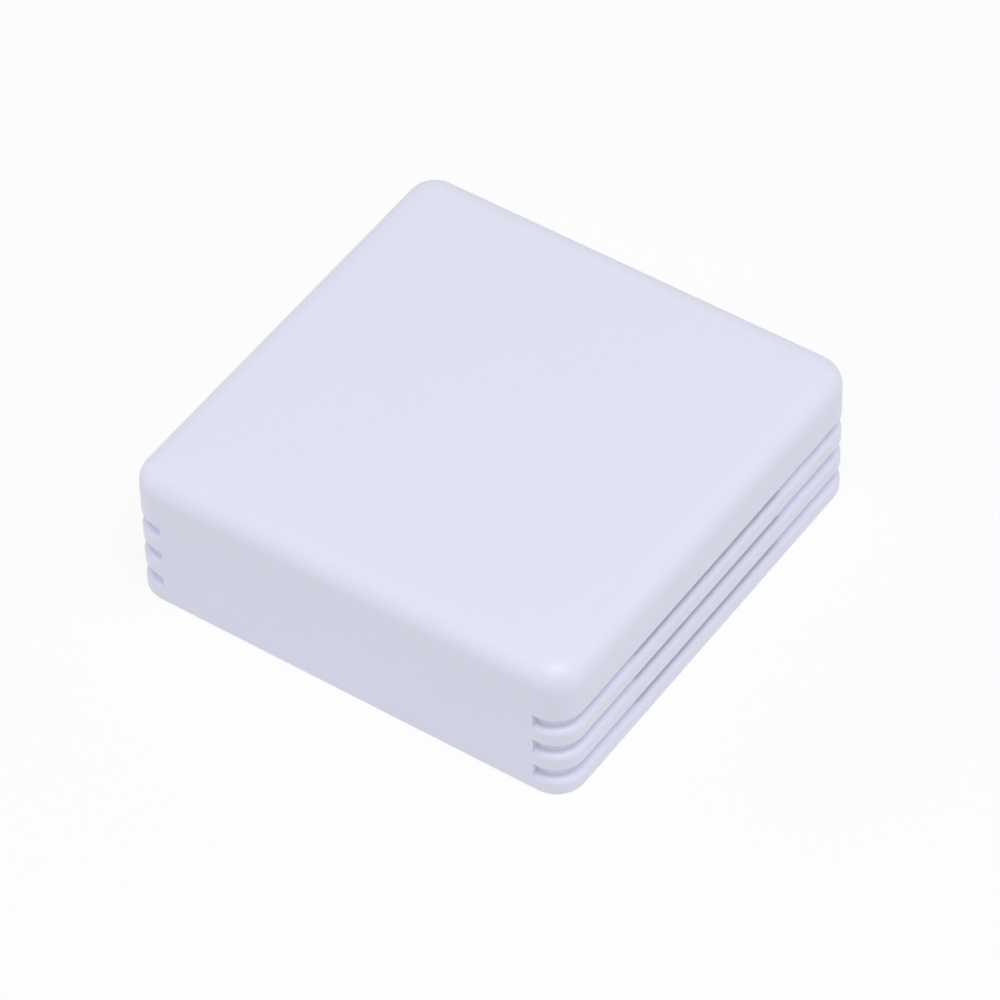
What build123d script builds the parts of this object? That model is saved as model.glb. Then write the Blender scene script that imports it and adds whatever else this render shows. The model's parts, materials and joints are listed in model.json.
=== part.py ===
from build123d import *
import os

os.makedirs("parts", exist_ok=True)

# A square temperature and humidity sensor for a wall or a shelf, in millimetres.
# The mounting face is at z = 0, the vented faces look along X, and the latch is on the +Y side.

# Front cover
wall = 2.0
top_wall = 2.25
corner_radius = 3.8
top_edge_radius = 3.0
base_edge_radius = 0.5
ceiling_edge_radius = 0.6
cell_rib_gap = 0.3  # from the ribs on the ceiling to the cells
cell_rib_length = 6.0
cell_rib_thickness = 1.2
cell_rib_offset = 14.0

# Vent grooves round both X faces, each open in the middle
vent_count = 3
vent_height = 1.7
vent_pitch = 4.15
vent_lowest = 2.5  # from the mounting face to the lowest groove
vent_depth = 0.9
vent_run_on = 0.6  # past the corner's arc, on to the plain face
vent_lower_radius = 0.8  # the lip below each groove
vent_upper_radius = 0.3  # the lip above each groove
slot_length = 30.0

# Cells
cell_diameter = 10.5
cell_length = 44.5
nub_diameter = 3.8
nub_height = 0.9
nub_edge_radius = 0.3
end_ring_diameter = 8.0  # the ring pressed into the flat end
end_ring_width = 0.6
end_ring_depth = 0.2
sleeve_thickness = 0.15
sleeve_gap = 0.05
sleeve_setback = 0.6  # bare can at each end
can_edge_radius = 0.4
cell_gap = 0.25  # between a cell and its cradle
cell_spacing = 0.7  # between the two cells
cell_headroom = 1.2  # above the cells, under the ceiling

# Battery holder
holder_wall = 0.7
holder_floor = 0.6
holder_end_wall = 1.2
holder_side_gap = 0.8  # to the cover's side wall
holder_end_gap = 2.95  # to the cover's end walls
side_wall_rise = 1.0  # above the cells' axis
end_wall_rise = 3.0
divider_drop = 2.0  # the ridge between the cells, below their axis
finger_notch_length = 14.0
finger_notch_drop = 2.5
peg_diameter = 1.6
peg_gap = 0.15
peg_length = 0.9
peg_spacing = 26.0

# Contacts
contact_room = 1.6  # between a cell's end and the holder's end wall
contact_thickness = 0.3
contact_gap = 0.15
contact_width = 6.0
contact_bend_radius = 0.25
contact_rise = 2.2  # the fold, above the cells' axis
contact_fall = 2.4  # the free end, below the cells' axis
contact_lean = 0.4  # how far the leaf bows towards the cell
bridge_height = 3.0
tail_width = 1.6
tail_gap = 0.2
tail_overhang = 0.6  # under the board

# Circuit board
board_thickness = 1.2
board_standoff = 2.2
board_gap = 0.4  # to the locating ribs
board_corner_radius = 1.5
board_screw_inset = 3.8
board_screw_middle = 9.0  # the two screws beside the holder, from the centre line
board_screw_shank = 1.9
board_screw_head = 3.6
board_screw_head_height = 1.3
board_screw_head_radius = 0.5
board_screw_bite = 2.0
board_screw_gap = 0.05  # shank to its bore
board_screw_passage = 2.2
bore_end_gap = 0.2
cross_length = 2.2
cross_width = 0.5
cross_depth = 0.6

# Back cover
plate_thickness = 1.8
plate_gap = 0.3  # to the cover's walls
plate_edge_radius = 0.3
post_diameter = 4.4
support_from_end = 9.0  # the two plain posts under the holder, from the board's ends
rib_thickness = 1.0
rib_length = 6.0
rib_drop = 0.6  # below the board's upper face
rib_slot_gap = 2.0  # from the vent slots
end_rib_length = 10.0
end_rib_offset = 14.0
wall_screw_hole = 3.4
wall_screw_passage = 6.0  # for the head, through the board
wall_screw_strip = 1.8  # board left between that passage and the latch
wall_boss_diameter = 7.0
wall_boss_height = 0.6
lane_gap = 0.6  # from that passage to the holder

# Adhesive pad
pad_width = 44.0
pad_depth = 28.0
pad_thickness = 0.8
pad_corner_radius = 2.0
pad_gap = 0.3

# Snap latch: a lever that hangs from two posts, with a tab in a notch of the cover
latch_width = 9.0
latch_thickness = 1.2
latch_wall_gap = 0.8
latch_side_gap = 0.3
latch_hinge_height = 8.0
latch_barrel = 1.8
latch_pin = 1.1
latch_pin_gap = 0.08
latch_post_thickness = 1.6
latch_post_cap = 1.1  # above the hinge
latch_post_radius = 0.6
latch_holder_gap = 0.3
latch_swing_room = 1.2
latch_floor_gap = 0.5
latch_tab_height = 1.4
latch_tab_width = 7.0
latch_tab_radius = 0.4
latch_tab_setback = 0.6  # from the cover's outer face
latch_nose_height = 1.2
latch_nose_land = 0.4  # the flat at the nose's tip, below its slope
latch_nose_base = 4.4  # above the mounting face
latch_nose_gap = 0.3
catch_gap = 0.4
catch_depth = 0.8
notch_gap = 0.4

# Radio
radio_width = 13.0
radio_length = 16.0
radio_thickness = 0.8
radio_from_edge = 13.7
radio_from_end = 12.1
castellation_count = 8
castellation_pitch = 1.6
castellation_diameter = 0.7
shield_width = 11.0
shield_length = 10.0
shield_height = 1.8
shield_skin = 0.25
shield_edge_radius = 0.2
shield_from_end = 6.2  # its centre, from the radio board's inner end
antenna_length = 5.0
antenna_width = 2.0
antenna_height = 1.1
antenna_from_end = 2.0  # from the radio board's outer end

# Sensor chip on a tongue of the board, at the vent
sensor_size = 2.6
sensor_height = 0.9
sensor_opening = 1.2
sensor_opening_depth = 0.4
sensor_chamfer = 0.15
sensor_from_edge = 3.1
tongue_length = 7.0
tongue_half_width = 4.0
tongue_neck_half = 1.5
tongue_cut = 1.0

# Pairing switch
switch_size = 4.5
switch_height = 1.6
switch_frame_thickness = 0.25
switch_frame_hole = 3.0
switch_from_lane = 6.0
switch_from_end = 5.5
button_diameter = 2.4
button_gap = 0.1
button_rise = 0.9  # above the switch body
button_depth = 0.7  # inside the switch body
button_travel = 0.25
button_edge_radius = 0.2

# Small parts on the board
lamp_length = 2.0
lamp_width = 1.25
lamp_height = 0.8
lamp_edge_radius = 0.2
lamp_from_switch = 6.0
capacitor_diameter = 5.0
capacitor_height = 4.0
capacitor_edge_radius = 0.4
capacitor_base_size = 5.3
capacitor_base_height = 0.6
capacitor_base_chamfer = 1.0
capacitor_from_edge = 6.3
capacitor_from_middle = 13.0
crystal_length = 3.2
crystal_width = 1.5
crystal_height = 0.8
crystal_edge_radius = 0.15
crystal_from_lane = 5.2
crystal_from_middle = 2.6
regulator_length = 2.9
regulator_width = 1.6
regulator_height = 1.0
regulator_chamfer = 0.15
regulator_from_lane = 7.0
regulator_from_middle = 11.0
lead_pitch = 0.95
lead_width = 0.4
lead_reach = 0.6
lead_thickness = 0.2
chip_length = 1.6
chip_width = 0.8
chip_end = 0.3
chip_capacitor_height = 0.8
chip_resistor_height = 0.45
chip_pitch = 2.4
chip_capacitor_count = 5
chip_resistor_count = 4
chip_capacitors_from_lane = 12.0
chip_resistors_from_lane = 8.3
chips_from_middle = 4.0

# Worked out: heights
board_bottom = plate_thickness + board_standoff
board_top = board_bottom + board_thickness
holder_inside = board_top + holder_floor
cell_axis = holder_inside + cell_gap + cell_diameter / 2
cell_top = cell_axis + cell_diameter / 2
ceiling = cell_top + cell_headroom
body_height = ceiling + top_wall
side_wall_top = cell_axis + side_wall_rise
end_wall_top = cell_axis + end_wall_rise
divider_top = cell_axis - divider_drop
finger_notch_base = side_wall_top - finger_notch_drop
rib_top = board_top - rib_drop
cell_rib_height = cell_headroom - cell_rib_gap

# Worked out: across and along
lane_half = wall_screw_passage / 2 + lane_gap
holder_width = 2 * (cell_diameter + cell_gap + holder_wall) + cell_spacing
holder_length = cell_length + 2 * (contact_room + holder_end_wall)
body_width = 2 * (wall + holder_side_gap + holder_width + lane_half)
body_depth = holder_length + 2 * (holder_end_gap + wall)
inner_x = body_width / 2 - wall
inner_y = body_depth / 2 - wall
plate_x = inner_x - plate_gap
plate_y = inner_y - plate_gap
plate_corner_radius = corner_radius - wall - plate_gap
board_x = plate_x - rib_thickness - board_gap
board_y = plate_y - rib_thickness - board_gap
holder_x = -(lane_half + holder_width / 2)
cell_pitch = cell_diameter + cell_spacing
cell_places = [holder_x - cell_pitch / 2, holder_x + cell_pitch / 2]
cell_end = cell_length / 2
chamber_end = cell_end + contact_room
latch_y = inner_y - latch_wall_gap - latch_thickness / 2
latch_bay_half = latch_width / 2 + latch_side_gap
latch_bay_y = latch_y - latch_thickness / 2 - latch_swing_room
latch_tab_top = latch_floor_gap + latch_tab_height
latch_tab_end = body_depth / 2 - latch_tab_setback
rib_y = slot_length / 2 + rib_slot_gap + rib_length / 2
vent_ends = body_width / 2 - corner_radius - vent_run_on
vent_heights = [vent_lowest + i * vent_pitch for i in range(vent_count)]

# Worked out: places on the board
wall_screw_y = latch_bay_y - wall_screw_strip - wall_screw_passage / 2
wall_screw_places = [(0, side * wall_screw_y) for side in (-1, 1)]
board_screw_places = [(board_x - board_screw_inset, side * (board_y - board_screw_inset)) for side in (-1, 1)]
board_screw_places += [(0, side * board_screw_middle) for side in (-1, 1)]
support_places = [(board_screw_inset - board_x, side * (board_y - support_from_end)) for side in (-1, 1)]
peg_places = [(holder_x, side * peg_spacing / 2) for side in (-1, 1)]
tail_y = -(chamber_end - contact_thickness / 2)
tail_places = [(x, tail_y) for x in cell_places]
sensor_place = (board_x - sensor_from_edge, 0)
radio_place = (board_x - radio_from_edge, board_y - radio_from_end)
radio_top = board_top + radio_thickness
shield_place = (radio_place[0], radio_place[1] - radio_length / 2 + shield_from_end)
antenna_place = (radio_place[0], radio_place[1] + radio_length / 2 - antenna_from_end)
switch_place = (lane_half + switch_from_lane, switch_from_end - board_y)
switch_top = board_top + switch_height
lamp_place = (switch_place[0] + lamp_from_switch, switch_place[1])
capacitor_place = (board_x - capacitor_from_edge, -capacitor_from_middle)
crystal_place = (lane_half + crystal_from_lane, crystal_from_middle)
regulator_place = (lane_half + regulator_from_lane, -regulator_from_middle)
chip_capacitor_place = (lane_half + chip_capacitors_from_lane, -chips_from_middle)
chip_resistor_place = (lane_half + chip_resistors_from_lane, -chips_from_middle)

tiny = 0.001


def skin_depth(point):
    """How far a point lies inside the cover's outline."""
    across = max(abs(point.X) - body_width / 2 + corner_radius, 0)
    along = max(abs(point.Y) - body_depth / 2 + corner_radius, 0)
    return corner_radius - (across**2 + along**2) ** 0.5


# Front cover: one deep shell, grooved round its X faces
with BuildPart() as front_cover:
    with BuildSketch():
        RectangleRounded(body_width, body_depth, corner_radius)
    extrude(amount=body_height)
    fillet(front_cover.faces().sort_by(Axis.Z)[-1].edges(), radius=top_edge_radius)
    fillet(front_cover.faces().sort_by(Axis.Z)[0].edges(), radius=base_edge_radius)
    with BuildSketch():
        RectangleRounded(2 * inner_x, 2 * inner_y, corner_radius - wall)
    extrude(amount=ceiling, mode=Mode.SUBTRACT)
    fillet(front_cover.edges(Select.LAST).group_by(Axis.Z)[-1], radius=ceiling_edge_radius)
    for height in vent_heights:
        with BuildSketch(Plane.XY.offset(height)):
            Rectangle(body_width + wall, body_depth + wall)
            Rectangle(2 * vent_ends, body_depth + wall, mode=Mode.SUBTRACT)
            RectangleRounded(
                body_width - 2 * vent_depth,
                body_depth - 2 * vent_depth,
                corner_radius - vent_depth,
                mode=Mode.SUBTRACT,
            )
            with Locations((-inner_x - wall / 2, 0), (inner_x + wall / 2, 0)):
                Rectangle(2 * wall, slot_length)
        extrude(amount=vent_height, mode=Mode.SUBTRACT)
    # The lips are rounded where the grooves break the outer skin
    for height in vent_heights:
        lips_here = ((height, vent_lower_radius), (height + vent_height, vent_upper_radius))
        for lip_height, lip_radius in lips_here:
            level_edges = front_cover.edges().filter_by_position(Axis.Z, lip_height - tiny, lip_height + tiny)
            lips = level_edges.filter_by(lambda edge: abs(skin_depth(edge @ 0.5)) < tiny)
            fillet(lips, radius=lip_radius)
    # Ribs on the ceiling keep the cells down
    with BuildSketch(Plane.XY.offset(ceiling - cell_rib_height)):
        with Locations(*[(x, side * cell_rib_offset) for x in cell_places for side in (-1, 1)]):
            Rectangle(cell_rib_length, cell_rib_thickness)
    extrude(amount=cell_rib_height)
    # Notch for the latch's tab, and the catch in the wall above it
    with BuildSketch():
        with Locations((0, inner_y + wall / 2)):
            Rectangle(latch_tab_width + 2 * notch_gap, 2 * wall)
    extrude(amount=latch_tab_top + notch_gap, mode=Mode.SUBTRACT)
    with BuildSketch(Plane.XY.offset(latch_nose_base - catch_gap)):
        with Locations((0, inner_y)):
            Rectangle(latch_tab_width + 2 * catch_gap, 2 * catch_depth)
    extrude(amount=latch_nose_height + 2 * catch_gap, mode=Mode.SUBTRACT)

front_cover.part.label = "front_cover"
export_step(front_cover.part, "parts/front_cover.step")

# Back cover: a flat plate in the cover's lower rim
with BuildPart() as back_cover:
    with BuildSketch():
        RectangleRounded(2 * plate_x, 2 * plate_y, plate_corner_radius)
        with Locations((0, plate_y)):
            Rectangle(2 * latch_bay_half, 2 * (plate_y - latch_bay_y), mode=Mode.SUBTRACT)
    extrude(amount=plate_thickness)
    fillet(back_cover.faces().sort_by(Axis.Z)[0].edges(), radius=plate_edge_radius)
    with BuildSketch():
        RectangleRounded(pad_width + 2 * pad_gap, pad_depth + 2 * pad_gap, pad_corner_radius + pad_gap)
    extrude(amount=pad_thickness, mode=Mode.SUBTRACT)
    # Posts under the board, the four at its screws bored
    with BuildSketch(Plane.XY.offset(plate_thickness)):
        with Locations(*board_screw_places, *support_places):
            Circle(post_diameter / 2)
    extrude(amount=board_standoff)
    with BuildSketch(Plane.XY.offset(board_bottom)):
        with Locations(*board_screw_places):
            Circle(board_screw_shank / 2 + board_screw_gap)
    extrude(amount=-board_screw_bite - bore_end_gap, mode=Mode.SUBTRACT)
    # Bosses and holes for the wall screws
    with BuildSketch(Plane.XY.offset(plate_thickness)):
        with Locations(*wall_screw_places):
            Circle(wall_boss_diameter / 2)
    extrude(amount=wall_boss_height)
    with BuildSketch():
        with Locations(*wall_screw_places):
            Circle(wall_screw_hole / 2)
    extrude(amount=plate_thickness + wall_boss_height, mode=Mode.SUBTRACT)
    # Ribs that centre the cover, clear of the vent slots
    with BuildSketch(Plane.XY.offset(plate_thickness)):
        for side in (-1, 1):
            with Locations(*[(side * (plate_x - rib_thickness / 2), end * rib_y) for end in (-1, 1)]):
                Rectangle(rib_thickness, rib_length)
            end_rib_y = side * (plate_y - rib_thickness / 2)
            with Locations((-end_rib_offset, end_rib_y), (end_rib_offset, end_rib_y)):
                Rectangle(end_rib_length, rib_thickness)
    extrude(amount=rib_top - plate_thickness)
    # Posts that carry the latch
    post_start = holder_length / 2 + latch_holder_gap
    post_height = latch_hinge_height + latch_post_cap - plate_thickness
    for start in (latch_bay_half, -latch_bay_half - latch_post_thickness):
        with BuildSketch(Plane.YZ.offset(start)) as post_outline:
            with Locations(((post_start + plate_y) / 2, plate_thickness + post_height / 2)):
                Rectangle(plate_y - post_start, post_height)
            fillet(post_outline.vertices().group_by(Axis.Y)[-1], radius=latch_post_radius)
            with Locations((latch_y, latch_hinge_height)):
                Circle(latch_pin / 2 + latch_pin_gap, mode=Mode.SUBTRACT)
        extrude(amount=latch_post_thickness)

back_cover.part.label = "back_cover"
export_step(back_cover.part, "parts/back_cover.step")

# Foam pad in the recess of the back cover, level with its face
with BuildPart() as adhesive_pad:
    with BuildSketch():
        RectangleRounded(pad_width, pad_depth, pad_corner_radius)
    extrude(amount=pad_thickness)

adhesive_pad.part.label = "adhesive_pad"
export_step(adhesive_pad.part, "parts/adhesive_pad.step")

# Snap latch: it hangs from its pins, and pressing the tab swings the nose off the catch
with BuildPart() as snap_latch:
    with BuildSketch(Plane.YZ.offset(-latch_width / 2)):
        with Locations((latch_y, (latch_floor_gap + latch_hinge_height) / 2)):
            Rectangle(latch_thickness, latch_hinge_height - latch_floor_gap)
        with Locations((latch_y, latch_hinge_height)):
            Circle(latch_barrel / 2)
    extrude(amount=latch_width)
    with BuildSketch(Plane.XY.offset(latch_floor_gap)):
        with Locations((0, (latch_y + latch_tab_end) / 2)):
            Rectangle(latch_tab_width, latch_tab_end - latch_y)
    extrude(amount=latch_tab_height)
    fillet(snap_latch.faces().sort_by(Axis.Y)[-1].edges(), radius=latch_tab_radius)
    with BuildSketch(Plane.YZ.offset(-latch_tab_width / 2)):
        with BuildLine():
            nose_tip = inner_y - latch_nose_gap
            Polyline(
                (latch_y, latch_nose_base),
                (nose_tip, latch_nose_base),
                (nose_tip, latch_nose_base + latch_nose_land),
                (latch_y, latch_nose_base + latch_nose_height),
                close=True,
            )
        make_face()
    extrude(amount=latch_tab_width)
    pin_end = latch_bay_half + latch_post_thickness
    with BuildSketch(Plane.YZ.offset(-pin_end)):
        with Locations((latch_y, latch_hinge_height)):
            Circle(latch_pin / 2)
    extrude(amount=2 * pin_end)

snap_latch.part.label = "snap_latch"
export_step(snap_latch.part, "parts/snap_latch.step")

# Circuit board on the posts
with BuildPart() as circuit_board:
    with BuildSketch(Plane.XY.offset(board_bottom)):
        RectangleRounded(2 * board_x, 2 * board_y, board_corner_radius)
        bay_half = latch_bay_half + latch_post_thickness + board_gap
        with Locations((0, board_y)):
            Rectangle(2 * bay_half, 2 * (board_y - latch_bay_y), mode=Mode.SUBTRACT)
        with Locations(*wall_screw_places):
            Circle(wall_screw_passage / 2, mode=Mode.SUBTRACT)
        with Locations(*board_screw_places):
            Circle(board_screw_passage / 2, mode=Mode.SUBTRACT)
        with Locations(*peg_places):
            Circle(peg_diameter / 2 + peg_gap, mode=Mode.SUBTRACT)
        with Locations(*tail_places):
            Rectangle(tail_width + 2 * tail_gap, contact_thickness + 2 * tail_gap, mode=Mode.SUBTRACT)
        # Cuts that keep the board's warmth from the sensor's tongue
        for side in (-1, 1):
            with Locations((board_x - tongue_length / 2, side * (tongue_half_width + tongue_cut / 2))):
                Rectangle(tongue_length, tongue_cut, mode=Mode.SUBTRACT)
            cut_x = board_x - tongue_length - tongue_cut / 2
            cut_end = tongue_half_width + tongue_cut
            with Locations((cut_x, side * (tongue_neck_half + cut_end) / 2)):
                Rectangle(tongue_cut, cut_end - tongue_neck_half, mode=Mode.SUBTRACT)
    extrude(amount=board_thickness)

circuit_board.part.label = "circuit_board"
export_step(circuit_board.part, "parts/circuit_board.step")

# Four screws hold the board to the back cover
with BuildPart() as board_screws:
    with BuildSketch(Plane.XY.offset(board_bottom - board_screw_bite)):
        with Locations(*board_screw_places):
            Circle(board_screw_shank / 2)
    extrude(amount=board_screw_bite + board_thickness)
    with BuildSketch(Plane.XY.offset(board_top)):
        with Locations(*board_screw_places):
            Circle(board_screw_head / 2)
    extrude(amount=board_screw_head_height)
    fillet(board_screws.edges().group_by(Axis.Z)[-1], radius=board_screw_head_radius)
    with BuildSketch(Plane.XY.offset(board_top + board_screw_head_height)):
        with Locations(*board_screw_places):
            Rectangle(cross_length, cross_width)
            Rectangle(cross_width, cross_length)
    extrude(amount=-cross_depth, mode=Mode.SUBTRACT)

board_screws.part.label = "board_screws"
export_step(board_screws.part, "parts/board_screws.step")

# Battery holder: two cradles with a chamber for the contacts at each end
with BuildPart() as battery_holder:
    with BuildSketch(Plane.XY.offset(board_top)):
        with Locations((holder_x, 0)):
            Rectangle(holder_width, holder_length)
    extrude(amount=side_wall_top - board_top)
    with BuildSketch(Plane.XY.offset(side_wall_top)):
        with Locations(*[(holder_x, side * (holder_length - holder_end_wall) / 2) for side in (-1, 1)]):
            Rectangle(holder_width, holder_end_wall)
    extrude(amount=end_wall_top - side_wall_top)
    for x in cell_places:
        cradle_radius = cell_diameter / 2 + cell_gap
        with BuildSketch(Plane.XZ.offset(-chamber_end)):
            with Locations((x, cell_axis)):
                Circle(cradle_radius)
            with Locations((x, cell_axis + end_wall_rise)):
                Rectangle(2 * cradle_radius, 2 * end_wall_rise)
        extrude(amount=2 * chamber_end, mode=Mode.SUBTRACT)
    with BuildSketch(Plane.XY.offset(divider_top)):
        with Locations((holder_x, 0)):
            Rectangle(cell_pitch, 2 * chamber_end)
    extrude(amount=divider_drop + end_wall_rise, mode=Mode.SUBTRACT)
    with BuildSketch(Plane.XY.offset(holder_inside)):
        with Locations(*[(holder_x, side * (cell_end + chamber_end) / 2) for side in (-1, 1)]):
            Rectangle(holder_width - 2 * holder_wall, contact_room)
    extrude(amount=end_wall_top - holder_inside, mode=Mode.SUBTRACT)
    with BuildSketch(Plane.XY.offset(finger_notch_base)):
        with Locations((holder_x, 0)):
            Rectangle(holder_width + wall, finger_notch_length)
    extrude(amount=finger_notch_drop, mode=Mode.SUBTRACT)
    # Slots for the contacts' tails, and pegs into the board
    with BuildSketch(Plane.XY.offset(board_top)):
        with Locations(*tail_places):
            Rectangle(tail_width + 2 * tail_gap, contact_thickness + 2 * tail_gap)
    extrude(amount=holder_floor, mode=Mode.SUBTRACT)
    with BuildSketch(Plane.XY.offset(board_top - peg_length)):
        with Locations(*peg_places):
            Circle(peg_diameter / 2)
    extrude(amount=peg_length)

battery_holder.part.label = "battery_holder"
export_step(battery_holder.part, "parts/battery_holder.step")


def leaf_points(side):
    """Along a contact leaf's middle, as (y, z): up the end wall, over, and down along the cell's end."""
    back = side * (chamber_end - contact_thickness / 2)
    front = side * (cell_end + contact_gap + contact_thickness / 2)
    lean = front + side * contact_lean
    top = cell_axis + contact_rise
    free_end = cell_axis - contact_fall
    return [(back, holder_inside), (back, top), (lean, top), (front, cell_axis), (lean, free_end)]


# Series contact: two leaves joined along the end wall
with BuildPart() as series_contact:
    for x in cell_places:
        with BuildSketch(Plane.YZ.offset(x - contact_width / 2)):
            with BuildLine():
                FilletPolyline(*leaf_points(1), radius=contact_bend_radius)
            trace(line_width=contact_thickness)
        extrude(amount=contact_width)
    with BuildSketch(Plane.XY.offset(holder_inside)):
        with Locations((holder_x, -tail_y)):
            Rectangle(cell_pitch, contact_thickness)
    extrude(amount=bridge_height)

series_contact.part.label = "series_contact"
export_step(series_contact.part, "parts/series_contact.step")

# Positive and negative contacts: a leaf each, with a tail through the board
with BuildPart() as positive_contact:
    with BuildSketch(Plane.YZ.offset(cell_places[0] - contact_width / 2)):
        with BuildLine():
            FilletPolyline(*leaf_points(-1), radius=contact_bend_radius)
        trace(line_width=contact_thickness)
    extrude(amount=contact_width)
    with BuildSketch(Plane.XY.offset(board_bottom - tail_overhang)):
        with Locations(tail_places[0]):
            Rectangle(tail_width, contact_thickness)
    extrude(amount=holder_inside - board_bottom + tail_overhang)

positive_contact.part.label = "positive_contact"
export_step(positive_contact.part, "parts/positive_contact.step")

with BuildPart() as negative_contact:
    add(positive_contact.part.moved(Pos(cell_pitch, 0, 0)))

negative_contact.part.label = "negative_contact"
export_step(negative_contact.part, "parts/negative_contact.step")

# Two cells side by side, the first with its nub towards -Y and the second towards +Y
can_radius = cell_diameter / 2 - sleeve_thickness - sleeve_gap
can_length = cell_length - nub_height
for number, x, side in ((1, cell_places[0], -1), (2, cell_places[1], 1)):
    flat_end = Plane((x, -side * cell_end, cell_axis), x_dir=(1, 0, 0), z_dir=(0, side, 0))
    with BuildPart() as cell_can:
        with BuildSketch(flat_end):
            Circle(can_radius)
        extrude(amount=can_length)
        fillet(cell_can.edges().filter_by(GeomType.CIRCLE), radius=can_edge_radius)
        with BuildSketch(flat_end.offset(can_length)):
            Circle(nub_diameter / 2)
        extrude(amount=nub_height)
        nub_edges = cell_can.edges().filter_by(GeomType.CIRCLE).sort_by(Axis.Y, reverse=side < 0)
        fillet(nub_edges[-1], radius=nub_edge_radius)
        with BuildSketch(flat_end):
            Circle(end_ring_diameter / 2)
            Circle(end_ring_diameter / 2 - end_ring_width, mode=Mode.SUBTRACT)
        extrude(amount=end_ring_depth, mode=Mode.SUBTRACT)
    cell_can.part.label = f"cell_{number}_can"
    export_step(cell_can.part, f"parts/cell_{number}_can.step")
    with BuildPart() as cell_sleeve:
        with BuildSketch(flat_end.offset(sleeve_setback)):
            Circle(cell_diameter / 2)
            Circle(cell_diameter / 2 - sleeve_thickness, mode=Mode.SUBTRACT)
        extrude(amount=can_length - 2 * sleeve_setback)
    cell_sleeve.part.label = f"cell_{number}_sleeve"
    export_step(cell_sleeve.part, f"parts/cell_{number}_sleeve.step")

# Radio: a small board with half holes at its edges, a shield can and an antenna
with BuildPart() as radio_board:
    with BuildSketch(Plane.XY.offset(board_top)):
        with Locations(radio_place):
            Rectangle(radio_width, radio_length)
            with GridLocations(radio_width, castellation_pitch, 2, castellation_count):
                Circle(castellation_diameter / 2, mode=Mode.SUBTRACT)
    extrude(amount=radio_thickness)

radio_board.part.label = "radio_board"
export_step(radio_board.part, "parts/radio_board.step")

with BuildPart() as radio_shield:
    with BuildSketch(Plane.XY.offset(radio_top)):
        with Locations(shield_place):
            Rectangle(shield_width, shield_length)
    extrude(amount=shield_height)
    fillet(radio_shield.edges().filter_by(Axis.Z), radius=shield_edge_radius)
    fillet(radio_shield.edges().group_by(Axis.Z)[-1], radius=shield_edge_radius)
    with BuildSketch(Plane.XY.offset(radio_top)):
        with Locations(shield_place):
            Rectangle(shield_width - 2 * shield_skin, shield_length - 2 * shield_skin)
    extrude(amount=shield_height - shield_skin, mode=Mode.SUBTRACT)

radio_shield.part.label = "radio_shield"
export_step(radio_shield.part, "parts/radio_shield.step")

with BuildPart() as chip_antenna:
    with BuildSketch(Plane.XY.offset(radio_top)):
        with Locations(antenna_place):
            Rectangle(antenna_length, antenna_width)
    extrude(amount=antenna_height)

chip_antenna.part.label = "chip_antenna"
export_step(chip_antenna.part, "parts/chip_antenna.step")

# Sensor chip on the tongue, with its opening upwards
with BuildPart() as sensor_chip:
    with BuildSketch(Plane.XY.offset(board_top)):
        with Locations(sensor_place):
            Rectangle(sensor_size, sensor_size)
    extrude(amount=sensor_height)
    chamfer(sensor_chip.edges().group_by(Axis.Z)[-1], length=sensor_chamfer)
    with BuildSketch(Plane.XY.offset(board_top + sensor_height)):
        with Locations(sensor_place):
            Circle(sensor_opening / 2)
    extrude(amount=-sensor_opening_depth, mode=Mode.SUBTRACT)

sensor_chip.part.label = "sensor_chip"
export_step(sensor_chip.part, "parts/sensor_chip.step")

# Pairing switch: body, frame, terminals and the button that travels
with BuildPart() as switch_body:
    with BuildSketch(Plane.XY.offset(board_top)):
        with Locations(switch_place):
            Rectangle(switch_size, switch_size)
    extrude(amount=switch_height)
    with BuildSketch(Plane.XY.offset(switch_top)):
        with Locations(switch_place):
            Circle(button_diameter / 2 + button_gap)
    extrude(amount=-button_depth - button_travel - button_gap, mode=Mode.SUBTRACT)

switch_body.part.label = "switch_body"
export_step(switch_body.part, "parts/switch_body.step")

with BuildPart() as switch_frame:
    with BuildSketch(Plane.XY.offset(switch_top)):
        with Locations(switch_place):
            Rectangle(switch_size, switch_size)
            Circle(switch_frame_hole / 2, mode=Mode.SUBTRACT)
    extrude(amount=switch_frame_thickness)

switch_frame.part.label = "switch_frame"
export_step(switch_frame.part, "parts/switch_frame.step")

with BuildPart() as switch_terminals:
    with BuildSketch(Plane.XY.offset(board_top)):
        with Locations(switch_place):
            with GridLocations(switch_size + lead_reach, switch_size - 2 * lead_width, 2, 2):
                Rectangle(lead_reach, lead_width)
    extrude(amount=lead_thickness)

switch_terminals.part.label = "switch_terminals"
export_step(switch_terminals.part, "parts/switch_terminals.step")

with BuildPart() as switch_button:
    with BuildSketch(Plane.XY.offset(switch_top - button_depth)):
        with Locations(switch_place):
            Circle(button_diameter / 2)
    extrude(amount=button_depth + button_rise)
    fillet(switch_button.edges().group_by(Axis.Z)[-1], radius=button_edge_radius)

switch_button.part.label = "switch_button"
export_step(switch_button.part, "parts/switch_button.step")

# Status lamp
with BuildPart() as status_lamp:
    with BuildSketch(Plane.XY.offset(board_top)):
        with Locations(lamp_place):
            Rectangle(lamp_length, lamp_width)
    extrude(amount=lamp_height)
    fillet(status_lamp.edges().group_by(Axis.Z)[-1], radius=lamp_edge_radius)

status_lamp.part.label = "status_lamp"
export_step(status_lamp.part, "parts/status_lamp.step")

# Bulk capacitor: a can on a plastic base
with BuildPart() as capacitor_base:
    with BuildSketch(Plane.XY.offset(board_top)) as base_outline:
        with Locations(capacitor_place):
            Rectangle(capacitor_base_size, capacitor_base_size)
        chamfer(base_outline.vertices().group_by(Axis.Y)[0], length=capacitor_base_chamfer)
    extrude(amount=capacitor_base_height)

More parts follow.
